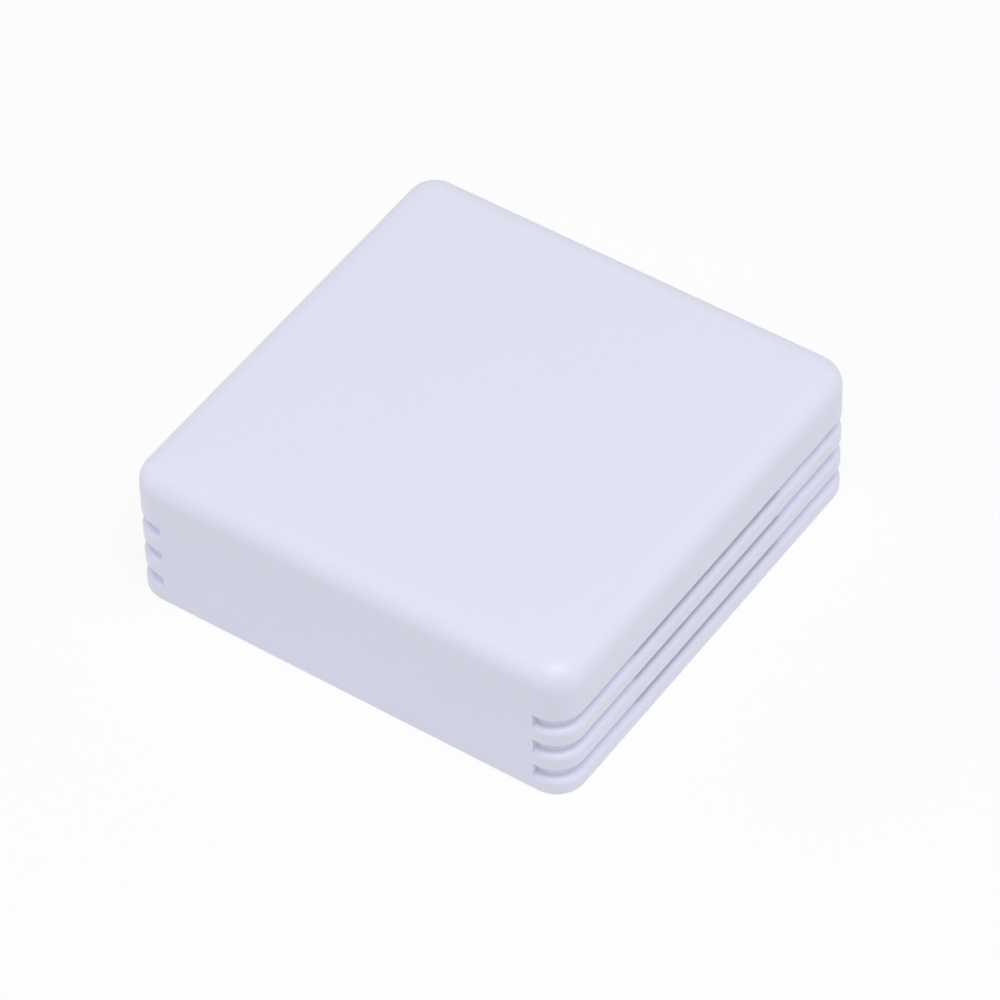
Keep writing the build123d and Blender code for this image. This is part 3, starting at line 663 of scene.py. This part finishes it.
def addFoamPad(sizes):
    low, high = lowHigh("adhesive_pad")
    middle, size = (low + high) / 2, high - low
    liner = sizes["linerThickness"]
    base = low.z + liner
    foam = addBlock((middle.x, middle.y, (base + high.z) / 2), (size.x, size.y, high.z - base))
    roundUprights(foam, sizes["cornerRadius"], segments=8)
    editAll()
    for share, drawn in ((0.25, sizes["shoulderShare"]), (0.5, 1), (0.75, sizes["shoulderShare"])):
        cutThrough((0, 0, base + (high.z - base) * share), (0, 0, 1))
        draw = sizes["waistDraw"] * drawn
        narrow = (1 - 2 * draw / size.x, 1 - 2 * draw / size.y, 1)
        bpy.ops.transform.resize(value=narrow, center_override=metres(middle.x, middle.y, 0))
    leaveEdit()
    softenEdges(foam, sizes["edgeRadius"], angle=50)
    settle(foam, "foamPad", "foam_pad", smoothAngle=50)
    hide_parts("adhesive_pad")
    halves = []
    for side in (-1, 1):
        half = addBlock((middle.x, middle.y, low.z + liner / 2), (size.x, size.y, liner))
        roundUprights(half, sizes["cornerRadius"], segments=8)
        outward = (-side, -side * sizes["splitLean"], 0)
        keepSide(half, (side * sizes["linerGap"] / 2, 0, low.z), outward)
        halves.append(half)
    settle(joinAll(halves), "padLiner", "linerPaper")


addFoamPad(padSizes)
print("the foam pad and its liner are made")


# Moulding marks on the front cover's ceiling: the rings that ejector pins leave
moldSizes = {"ringRadius": 1.6, "ringWidth": 0.15, "ringHeight": 0.16, "roofThickness": 2.25,
             "places": [(-24, 24), (-24, -24), (24, 24), (24, -24), (-2, 23), (-2, -23), (14, 14), (14, -14),
                        (6, 0)]}


def addMoldMarks(sizes):
    outer = sizes["ringRadius"]
    ceiling = lowHigh("front_cover")[1].z - sizes["roofThickness"]
    ring = addRing((0, 0, ceiling), outer, outer - sizes["ringWidth"], sizes["ringHeight"])
    softenEdges(ring, sizes["ringWidth"] / 4, segments=1)
    settle(copyTo(ring, sizes["places"]), "coverPinMarks", "white_shell", "cover")


addMoldMarks(moldSizes)
print("the moulding marks are made")


# Copper under the mask: signals from the sensor, the crystal, the switch and the lamp, and the battery's run
copperSizes = {"width": 0.26, "wideWidth": 0.8, "height": 0.05}
signalRoutes = [
    # from the sensor through the tongue's neck
    [(21.6, 0.9), (18.3, 0.9), (17.9, 1.3), (17.9, 4.9), (20.8, 7.8), (20.8, 11.4), (20.4, 11.8),
     (19.0, 11.8)],
    [(21.6, 0.3), (18.1, 0.3), (17.4, 1.0), (17.4, 5.1), (20.2, 7.9), (20.2, 9.8), (19.8, 10.2),
     (19.0, 10.2)],
    [(21.6, -0.3), (17.9, -0.3), (16.9, 0.7), (16.9, 5.3), (19.6, 8.0), (19.6, 8.2), (19.2, 8.6),
     (19.0, 8.6)],
    [(21.6, -0.9), (18.2, -0.9), (17.5, -1.6), (16.4, -1.6)],
    # round the crystal
    [(7.4, 2.6), (5.2, 4.8), (5.2, 8.0), (5.8, 8.6), (6.2, 8.6)],
    [(10.2, 3.0), (10.2, 4.4), (9.4, 5.2), (9.4, 6.4)],
    # the chips in their rows
    [(9.65, -9.4), (9.65, -8.2), (10.25, -7.6), (11.1, -7.6)],
    [(11.55, -9.4), (11.55, -9.2), (11.95, -8.8), (14.8, -8.8)],
    [(12.7, -7.6), (14.1, -6.2), (14.1, 6.4)],
    [(12.7, -5.2), (13.6, -4.3), (13.6, 6.4)],
    [(12.7, -2.8), (13.1, -2.4), (13.1, 6.4)],
    [(11.1, -5.2), (10.3, -5.2), (7.0, -1.9), (7.0, 0.2), (5.2, 2.0)],
    [(11.1, -2.8), (10.4, -2.8), (8.8, -1.2), (8.8, 2.0)],
    [(11.1, -0.4), (10.9, -0.2), (10.9, 6.4)],
    [(16.4, -8.8), (18.0, -8.8), (19.2, -10.0), (19.2, -10.6)],
    [(16.4, -6.4), (20.2, -6.4), (20.9, -7.1), (20.9, -10.6)],
    [(16.4, -4.0), (17.0, -4.0), (18.8, -5.8), (22.6, -5.8)],
    [(14.8, 0.8), (14.8, 6.4)],
    # the switch and the lamp
    [(12.45, -19.3), (13.4, -19.3), (13.4, -16.2)],
    [(6.8, -19.3), (5.6, -19.3), (4.6, -18.3), (4.6, -16.9)],
    [(14.5, -20.8), (13.9, -20.2), (13.9, -17.2)],
    [(16.7, -20.8), (18.0, -20.8), (18.6, -20.2), (18.6, -17.2)],
    # from the radio board to its test pads
    [(6.2, 10.2), (4.6, 10.2), (3.9, 9.5), (3.9, 1.7), (2.9, 0.7), (2.9, -3.0)],
    [(6.2, 11.8), (4.2, 11.8), (3.3, 10.9), (3.3, 2.0), (2.3, 1.0), (2.3, -4.2)],
    [(6.2, 13.4), (2.6, 13.4)],
    [(6.2, 15.0), (3.4, 15.0), (2.6, 15.6)],
    [(19.0, 13.4), (21.4, 13.4), (22.4, 14.4), (22.4, 17.4)],
    [(19.0, 15.0), (20.8, 15.0), (21.6, 15.8), (21.6, 18.4)],
]
powerRoutes = [
    [(9.65, -12.5), (9.65, -13.2), (8.85, -14.0), (-4.2, -14.0)],
    [(10.6, -12.5), (10.6, -13.4), (11.2, -14.0), (16.6, -14.0), (17.2, -13.4)],
    [(24.6, 8.0), (24.6, 16.0), (23.6, 17.0)],
    [(4.2, 20.6), (4.2, 23.2), (5.4, 24.4), (18.0, 24.4)],
]


def addCopper(sizes):
    signals = addLines(signalRoutes, sizes["width"], sizes["height"], boardTop)
    power = addLines(powerRoutes, sizes["wideWidth"], sizes["height"], boardTop)
    settle(joinAll([signals, power]), "boardCopper", "maskedCopper", smoothAngle=60)


addCopper(copperSizes)
print("the copper is laid")


# Rings and pads of bare gold: holes through the board, test pads, and aiming dots near its corners
goldSizes = {"viaRadius": 0.3, "viaHole": 0.14, "height": 0.05, "testRadius": 0.55, "aimRadius": 0.5}
viaPlaces = [(2.9, -3.0), (2.3, -4.2), (13.4, -16.2), (4.6, -16.9), (13.9, -17.2), (18.6, -17.2),
             (22.4, 17.4), (21.6, 18.4), (5.2, 2.0), (22.6, -5.8), (12.3, -12.9), (20.5, 5.9),
             (23.6, 17.0), (18.0, 24.4), (24.4, -7.6), (24.4, -10.0), (3.2, -7.4), (5.4, -10.2),
             (6.8, -6.6), (16.8, -18.4)]
testPlaces = [(2.4, 13.4), (2.4, 15.8), (4.6, 18.4), (20.4, 22.6)]
aimPlaces = [(22.8, 10.4), (6.2, -24.6), (-1.9, 23.9)]


def addGoldPads(sizes):
    via = addRing((0, 0, boardTop), sizes["viaRadius"], sizes["viaHole"], sizes["height"], sides=20)
    pads = [copyTo(via, viaPlaces)]
    for radius, places in ((sizes["testRadius"], testPlaces), (sizes["aimRadius"], aimPlaces)):
        pad = addRod((0, 0, boardTop), radius, sizes["height"], sides=28)
        softenEdges(pad, sizes["height"] / 3, segments=1)
        pads.append(copyTo(pad, places))
    settle(joinAll(pads), "boardGold", "padGold")


addGoldPads(goldSizes)
print("the gold pads are in place")


# Rows of like things along Y, which the printing and the solder follow
rowSizes = {"chipCounts": {"chip_capacitors": 5, "chip_resistors": 4}, "chipPitch": 2.4, "chipWidth": 0.8,
            "chipEnd": 0.3, "firstHole": 2.4, "holePitch": 1.6, "holeCount": 8}


def chipRow(node):
    first = lowHigh(node)[0].y + rowSizes["chipWidth"] / 2
    return [first + number * rowSizes["chipPitch"] for number in range(rowSizes["chipCounts"][node])]


def holeRow():
    # the half holes down the radio board's sides
    first = lowHigh("radio_board")[0].y + rowSizes["firstHole"]
    return [first + number * rowSizes["holePitch"] for number in range(rowSizes["holeCount"])]


# Printing on the board: outlines round the parts, a plus and a minus beside the holder, and a plus beside the
# bulk capacitor
inkSizes = {"width": 0.16, "height": 0.03, "clear": 0.35, "radioArm": 1.2, "sensorArm": 0.7, "switchArm": 1.0,
            "switchClear": 1.05, "chipInset": 0.1, "chipSide": 0.6, "cutCorner": 1.6, "farArm": 1.0,
            "signArm": 1.1, "signWidth": 0.3}
plusPlaces = [(-2.2, -24.0), (23.4, -16.2)]
minusPlaces = [(-2.2, 13.6)]


def boxRoute(node, clear):
    # a closed outline round a solid, whose ends meet halfway along one side
    left, right, near, far = boxSides(node, clear)
    middle = (left + right) / 2
    return [(middle, near), (right, near), (right, far), (left, far), (left, near), (middle, near)]


def cornerRoutes(node, clear, arm):
    # only the corners of that outline
    left, right, near, far = boxSides(node, clear)
    return [[(x + inward * arm, y), (x, y), (x, y + upward * arm)]
            for x, inward in ((left, 1), (right, -1)) for y, upward in ((near, 1), (far, -1))]


def addBoardPrint(sizes):
    clear, arm = sizes["clear"], sizes["signArm"]
    routes = cornerRoutes("radio_board", clear, sizes["radioArm"])
    routes += cornerRoutes("sensor_chip", clear, sizes["sensorArm"])
    routes += cornerRoutes("switch_body", sizes["switchClear"], sizes["switchArm"])
    routes += [boxRoute(node, clear) for node in ("crystal", "status_lamp", "regulator_chip")]
    # a line above and below each chip in the two rows
    for node in rowSizes["chipCounts"]:
        left, right = boxSides(node, -sizes["chipInset"])[:2]
        for middle in chipRow(node):
            for y in (middle - sizes["chipSide"], middle + sizes["chipSide"]):
                routes.append([(left, y), (right, y)])
    # the bulk capacitor's base, left open at the near side, where its corners are cut
    left, right, near, far = boxSides("capacitor_base", clear)
    for x, inward in ((left, 1), (right, -1)):
        reach = inward * (sizes["farArm"] + clear)
        routes.append([(x, near + sizes["cutCorner"]), (x, far), (x + reach, far)])
    thin = addLines(routes, sizes["width"], sizes["height"], boardTop)
    signs = [[(x - arm / 2, y), (x + arm / 2, y)] for x, y in plusPlaces + minusPlaces]
    for x, y in plusPlaces:
        # in two halves, so that no faces cross
        signs += [[(x, y + way * sizes["signWidth"] / 2), (x, y + way * arm / 2)] for way in (-1, 1)]
    bold = addLines(signs, sizes["signWidth"], sizes["height"], boardTop)
    settle(joinAll([thin, bold]), "boardPrint", "boardPrint", smoothAngle=60)


addBoardPrint(inkSizes)
print("the board is printed")


# Solder: fillets at chip ends, leads and terminals, and filled half holes round the radio board
solderSizes = {"reach": 0.32, "capacitorHeight": 0.5, "resistorHeight": 0.34, "lampWidth": 1.1,
               "crystalWidth": 1.2, "endHeight": 0.3, "terminalWidth": 0.7, "terminalHeight": 0.2,
               "terminalInset": 0.4, "holeRadius": 0.3, "footRadius": 0.6, "mound": 0.12}


def addSolder(sizes):
    past, width = rowSizes["chipEnd"], rowSizes["chipWidth"]
    terminalRows = boxSides("switch_terminals", -sizes["terminalInset"])[2:]
    joints = [
        # a solid, how far its metal goes past it, where its joints are along Y, and their width and height
        ("chip_capacitors", past, chipRow("chip_capacitors"), width, sizes["capacitorHeight"]),
        ("chip_resistors", past, chipRow("chip_resistors"), width, sizes["resistorHeight"]),
        ("status_lamp", 0, [middleOf("status_lamp").y], sizes["lampWidth"], sizes["endHeight"]),
        ("crystal", 0, [middleOf("crystal").y], sizes["crystalWidth"], sizes["endHeight"]),
        ("switch_terminals", 0, terminalRows, sizes["terminalWidth"], sizes["terminalHeight"]),
    ]
    parts = [addFillets(node, past, rows, width, sizes["reach"], height, solderFoot)
             for node, past, rows, width, height in joints]
    # round the radio board
    low, high = lowHigh("radio_board")
    mound = sizes["mound"]
    foot = addRod((0, 0, (low.z + high.z + mound) / 2), sizes["footRadius"], high.z - low.z + mound,
                  sides=20, topRadius=sizes["holeRadius"])
    softenEdges(foot, mound, segments=3, angle=30)
    parts.append(copyTo(foot, [(x, y) for x in (low.x, high.x) for y in holeRow()]))
    settle(joinAll(parts), "solderJoints", "tin", smoothAngle=50)


addSolder(solderSizes)
print("the parts are soldered")


# Radio board: gold lands on its upper face, behind each half hole
landSizes = {"halfWidth": 0.55, "height": 0.04, "length": 0.9, "endRadius": 0.495}


def addRadioLands(sizes):
    low, high = lowHigh("radio_board")
    length = sizes["length"]
    sides = []
    for way, edge in ((1, low.x), (-1, high.x)):
        land = addBlock((way * length / 2, 0, high.z), (length, 2 * sizes["halfWidth"], sizes["height"]))
        roundEdges(land, lambda middle, line: abs(line.z) > parallel and way * middle.x > length / 2,
                   sizes["endRadius"], segments=6)
        sides.append(copyTo(land, [(edge, y) for y in holeRow()]))
    settle(joinAll(sides), "radioLands", "padGold")


# Chip antenna: metal ends, and a printed zigzag that climbs and falls between them and tucks in under both
antennaSizes = {"endLength": 0.6, "skin": 0.02, "edgeRadius": 0.05, "lineWidth": 0.16, "lineHeight": 0.04,
                "margin": 0.45, "legs": 8, "tuck": 0.1}


def addAntennaMetal(sizes):
    low, high = lowHigh("chip_antenna")
    length, skin = sizes["endLength"], sizes["skin"]
    girth, height = high.y - low.y + 2 * skin, high.z - low.z + skin
    ends = addEnds("chip_antenna", length, girth, height, skin, sizes["edgeRadius"])
    start = low.x + length - sizes["tuck"]
    step = (low.x + high.x - 2 * start) / sizes["legs"]
    bottom, top = low.y + sizes["margin"], high.y - sizes["margin"]
    route = []
    for leg in range(sizes["legs"] + 1):
        x = start + leg * step
        route += [(x, bottom), (x, top)] if leg % 2 else [(x, top), (x, bottom)]
    zigzag = addLines([route], sizes["lineWidth"], sizes["lineHeight"], high.z)
    settle(joinAll([ends, zigzag]), "antennaMetal", "tin")


# Radio shield: a raised bead inside its rim, and small feet along its sides
shieldSizes = {"beadInset": 1.0, "beadCorner": 0.7, "beadWidth": 0.5, "beadHeight": 0.14, "footWidth": 0.8,
               "footReach": 0.16, "footHeight": 0.35, "footCount": 4}


def addShieldDetail(sizes):
    low, high = lowHigh("radio_shield")
    left, right, near, far = boxSides("radio_shield", -sizes["beadInset"])
    corner = sizes["beadCorner"]
    middle = (left + right) / 2
    route = [(middle, near), (right - corner, near), (right, near + corner), (right, far - corner),
             (right - corner, far), (left + corner, far), (left, far - corner), (left, near + corner),
             (left + corner, near), (middle, near)]
    bead = addLines([route], sizes["beadWidth"], sizes["beadHeight"], high.z)
    pitch = (high.y - low.y) / sizes["footCount"]
    rows = [low.y + pitch * (number + 0.5) for number in range(sizes["footCount"])]
    feet = addFillets("radio_shield", 0, rows, sizes["footWidth"], sizes["footReach"], sizes["footHeight"],
                      low.z)
    settle(joinAll([bead, feet]), "shieldBead", "shield_tin", smoothAngle=50)


addRadioLands(landSizes)
addAntennaMetal(antennaSizes)
addShieldDetail(shieldSizes)
print("the radio board is dressed")


# Bulk capacitor: a can with a crimped waist, a half-moon mark, and three fine ridges for its scored vent
capacitorSizes = {"crimpHeight": 0.95, "crimpHalf": 0.3, "crimpDepth": 0.2, "crimpSoft": 0.18,
                  "edgeRadius": 0.3, "baseRadius": 0.12, "markRadius": 2.05, "markShare": 0.75,
                  "markHeight": 0.03, "scoreLength": 1.5, "scoreWidth": 0.1, "scoreHeight": 0.04,
                  "scoreTurns": (90, 210, 330)}


def addCapacitor(sizes):
    low, high = lowHigh("capacitor_can")
    middle = (low + high) / 2
    radius = (high.x - low.x) / 2
    can = addRod(middle, radius, high.z - low.z, sides=64)
    crimp = low.z + sizes["crimpHeight"]
    editAll()
    for height in (crimp - sizes["crimpHalf"], crimp, crimp + sizes["crimpHalf"]):
        cutThrough((0, 0, height), (0, 0, 1))
    leaveEdit()
    pick(can, "EDGE", atLevel(crimp))
    waist = 1 - sizes["crimpDepth"] / radius
    bpy.ops.transform.resize(value=(waist, waist, 1), center_override=metres(middle.x, middle.y, crimp))
    leaveEdit()
    roundEdges(can, atLevel(crimp), sizes["crimpSoft"], segments=3)
    roundEdges(can, atLevel(high.z), sizes["edgeRadius"], segments=4)
    roundEdges(can, atLevel(low.z), sizes["baseRadius"], segments=4)
    arms = []
    for turn in sizes["scoreTurns"]:
        aim = Vector((math.cos(math.radians(turn)), math.sin(math.radians(turn))))
        arms.append([middle.xy, middle.xy + sizes["scoreLength"] * aim])
    score = addLines(arms, sizes["scoreWidth"], sizes["scoreHeight"], high.z)
    settle(joinAll([can, score]), "capacitorCan", "cell_can", smoothAngle=40)
    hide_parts("capacitor_can")
    thick = sizes["markHeight"]
    mark = addRod((middle.x, middle.y, high.z + thick / 2), sizes["markRadius"], thick, sides=48)
    edge = sizes["markRadius"] * (1 - sizes["markShare"])
    keepSide(mark, (middle.x - edge, middle.y, high.z), (1, 0, 0))
    softenEdges(mark, thick / 3, segments=1, angle=60)
    settle(mark, "capacitorMark", "chip_black")


addCapacitor(capacitorSizes)
print("the capacitor is made")


# Status lamp: its base, metal ends and die
lampSizes = {"baseHeight": 0.26, "baseSoft": 0.02, "skin": 0.01, "endLength": 0.34, "endHeight": 0.42,
             "endSoft": 0.04, "dieWidth": 0.4, "dieHeight": 0.12, "dieSoft": 0.03}


def addLampParts(sizes):
    low, high = lowHigh("status_lamp")
    middle = (low + high) / 2
    skin, base = sizes["skin"], sizes["baseHeight"]
    wide, tall = sizes["dieWidth"], sizes["dieHeight"]
    girth = high.y - low.y + 2 * skin
    plate = addBlock((middle.x, middle.y, low.z + base / 2), (high.x - low.x, girth, base))
    softenEdges(plate, sizes["baseSoft"], segments=1)
    settle(plate, "lampBase", "boardPrint")
    ends = addEnds("status_lamp", sizes["endLength"], girth + skin, sizes["endHeight"], skin,
                   sizes["endSoft"])
    settle(ends, "lampEnds", "tin")
    die = addBlock((middle.x, middle.y, low.z + base + tall / 2), (wide, wide, tall))
    softenEdges(die, sizes["dieSoft"])
    settle(die, "lampDie", "button_plastic")


# Sensor: the membrane in its opening, and a joint at each lead
sensorSizes = {"openingDepth": 0.4, "membraneRadius": 0.57, "membraneHeight": 0.06, "membraneSoft": 0.02,
               "leadWidth": 0.34, "leadReach": 0.16, "leadHeight": 0.22, "leadRows": (-0.8, 0, 0.8)}


def addSensorParts(sizes):
    middle = middleOf("sensor_chip")
    thick = sizes["membraneHeight"]
    level = lowHigh("sensor_chip")[1].z - sizes["openingDepth"] + thick / 2
    disc = addRod((middle.x, middle.y, level), sizes["membraneRadius"], thick, sides=36)
    softenEdges(disc, sizes["membraneSoft"])
    settle(disc, "sensorMembrane", "boardPrint")
    rows = [middle.y + row for row in sizes["leadRows"]]
    leads = addFillets("sensor_chip", 0, rows, sizes["leadWidth"], sizes["leadReach"],
                       sizes["leadHeight"], solderFoot)
    settle(leads, "sensorJoints", "tin", smoothAngle=50)


# Switch: four rivets that hold its metal frame
rivetSizes = {"radius": 0.36, "topRadius": 0.288, "height": 0.2, "soft": 0.09, "inset": 0.5, "sink": 0.04}


def addRivets(sizes):
    left, right, near, far = boxSides("switch_frame", -sizes["inset"])
    level = lowHigh("switch_frame")[1].z + sizes["height"] / 2 - sizes["sink"]
    rivet = addRod((0, 0, level), sizes["radius"], sizes["height"], sides=24, topRadius=sizes["topRadius"])
    softenEdges(rivet, sizes["soft"], segments=3)
    rivets = copyTo(rivet, [(x, y) for x in (left, right) for y in (near, far)])
    settle(rivets, "switchRivets", "chip_black")


addLampParts(lampSizes)
addSensorParts(sensorSizes)
addRivets(rivetSizes)
print("the small parts are dressed")


# Battery holder: raised plus and minus signs on its end walls
signSizes = {"arm": 3.0, "width": 0.8, "relief": 0.15, "soft": 0.0525, "height": 8.0}


def addSign(sizes, plus):
    # lies on its back at the origin, looking along +Z
    width = sizes["width"]
    bar = addBlock((0, 0, sizes["relief"] / 2), (sizes["arm"], width, sizes["relief"]))
    if plus:
        reach = (sizes["arm"] - width) / 2
        editAll()
        for side in (-1, 1):
            cutThrough((side * width / 2, 0, 0), (1, 0, 0))
        for way in (-1, 1):
            pick(bar, "FACE", lambda place, normal: normal.y * way > parallel and abs(place.x) < width / 2)
            bpy.ops.mesh.extrude_region_move(TRANSFORM_OT_translate={"value": metres(0, way * reach, 0)})
        leaveEdit()
    softenEdges(bar, sizes["soft"])
    return bar


def addHolderSigns(sizes):
    low, high = lowHigh("battery_holder")
    signs = []
    for cell, way in positiveWay.items():
        for plus, wall in ((True, way), (False, -way)):
            sign = addSign(sizes, plus)
            editAll()
            bpy.ops.transform.rotate(value=wall * math.pi / 2, orient_axis="X", center_override=(0, 0, 0))
            edge = high.y if wall > 0 else low.y
            place = metres(middleOf(cell + "_can").x, edge, sizes["height"])
            bpy.ops.transform.translate(value=place)
            leaveEdit()
            signs.append(sign)
    settle(joinAll(signs), "holderSigns", "black_holder")


# Cells: a washer round each positive nub, at the can's flat end
washerSizes = {"outer": 4.3, "inner": 2.0, "thickness": 0.12, "capEnd": 21.35}


def addWashers(sizes):
    for cell, way in positiveWay.items():
        middle = middleOf(cell + "_can")
        place = (middle.x, way * (sizes["capEnd"] + sizes["thickness"] / 2), middle.z)
        washer = addRing(place, sizes["outer"], sizes["inner"], sizes["thickness"], "Y", sides=48)
        settle(washer, cell + "_washer", "boardPrint", cell)


addHolderSigns(signSizes)
addWashers(washerSizes)
print("the holder's signs and the cells' washers are made")


# Battery contacts: a plate at each cell's end, domed for the positive end, with a coil spring for the other
contactSizes = {"width": 6.0, "thickness": 0.3, "cornerRadius": 0.8, "lipDepth": 0.75, "lipSide": 0.8,
                "seatOuter": 2.43, "seatInner": 2.205, "seatHeight": 0.1, "domeOuter": 1.9, "domeInner": 1.1,
                "domeSoft": 0.25, "wire": 0.42, "coilOuter": 2.05, "coilInner": 1.35, "turns": 2.75,
                "steps": 18, "tailWidth": 1.6, "bridgeHeight": 2.0, "soft": 0.06, "thinner": 0.06}


def addCoil(sizes, axis, wall, tip):
    # narrows from the wall towards the cell, and its last half turn lies flat
    count = round(sizes["turns"] * sizes["steps"])
    rise = count - sizes["steps"] // 2
    points = []
    for number in range(count + 1):
        turn = 2 * math.pi * number / sizes["steps"]
        share = min(1.0, number / rise)
        radius = sizes["coilOuter"] + (sizes["coilInner"] - sizes["coilOuter"]) * share
        points.append((axis.x + radius * math.cos(turn), wall + (tip - wall) * share,
                       axis.z + radius * math.sin(turn)))
    return addWire([addChain(points)], sizes["wire"], roundness=3)


def addContact(sizes, node, name, cells):
    low, high = lowHigh(node)
    floor = lowHigh("series_contact")[0].z
    way = 1 if low.y > 0 else -1
    back, tip = (high.y, low.y)[::way]
    thick, soft = sizes["thickness"], sizes["soft"]
    thin = thick - sizes["thinner"]  # so that the tail's and the bridge's faces stay under the plate's
    face = back - way * thick
    core = back - way * thick / 2
    parts = []
    for cell in cells:
        axis = middleOf(cell + "_can")
        plate = addBlock((axis.x, core, (floor + high.z) / 2), (sizes["width"], thick, high.z - floor))
        roundEdges(plate, lambda middle, line: abs(line.y) > parallel, sizes["cornerRadius"], segments=5)
        softenEdges(plate, soft, angle=60)
        lip = addBlock((axis.x, back - way * sizes["lipDepth"] / 2, high.z - thick / 2),
                       (sizes["width"] - 2 * sizes["lipSide"], sizes["lipDepth"], thick))
        softenEdges(lip, soft * 2, segments=3)
        seat = addRing((axis.x, face, axis.z), sizes["seatOuter"], sizes["seatInner"],
                       2 * sizes["seatHeight"], "Y")
        parts += [plate, lip, seat]
        if positiveWay[cell] == way:
            base, top = (sizes["domeOuter"], sizes["domeInner"])[::way]
            dome = addRod((axis.x, (face + tip) / 2, axis.z), base, abs(tip - face), "Y", sides=36,
                          topRadius=top)
            softenEdges(dome, sizes["domeSoft"], segments=4, angle=30)
            parts.append(dome)
        else:
            half = way * sizes["wire"] / 2
            parts.append(addCoil(sizes, axis, face - half, tip + half))
        if len(cells) == 1:
            height = floor - low.z + sizes["cornerRadius"]
            tail = addBlock((axis.x, core, low.z + height / 2), (sizes["tailWidth"], thin, height))
            softenEdges(tail, soft)
            parts.append(tail)
    if len(cells) > 1:
        bridge = addBlock(((low.x + high.x) / 2, core, floor + sizes["bridgeHeight"] / 2),
                          (high.x - low.x - sizes["width"], thin, sizes["bridgeHeight"]))
        softenEdges(bridge, soft)
        parts.append(bridge)
    piece = settle(joinAll(parts), name, "nickel", smoothAngle=50)
    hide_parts(node)


addContact(contactSizes, "series_contact", "seriesContact", ["cell_1", "cell_2"])
addContact(contactSizes, "positive_contact", "positiveContact", ["cell_1"])
addContact(contactSizes, "negative_contact", "negativeContact", ["cell_2"])
print("the battery contacts are made")
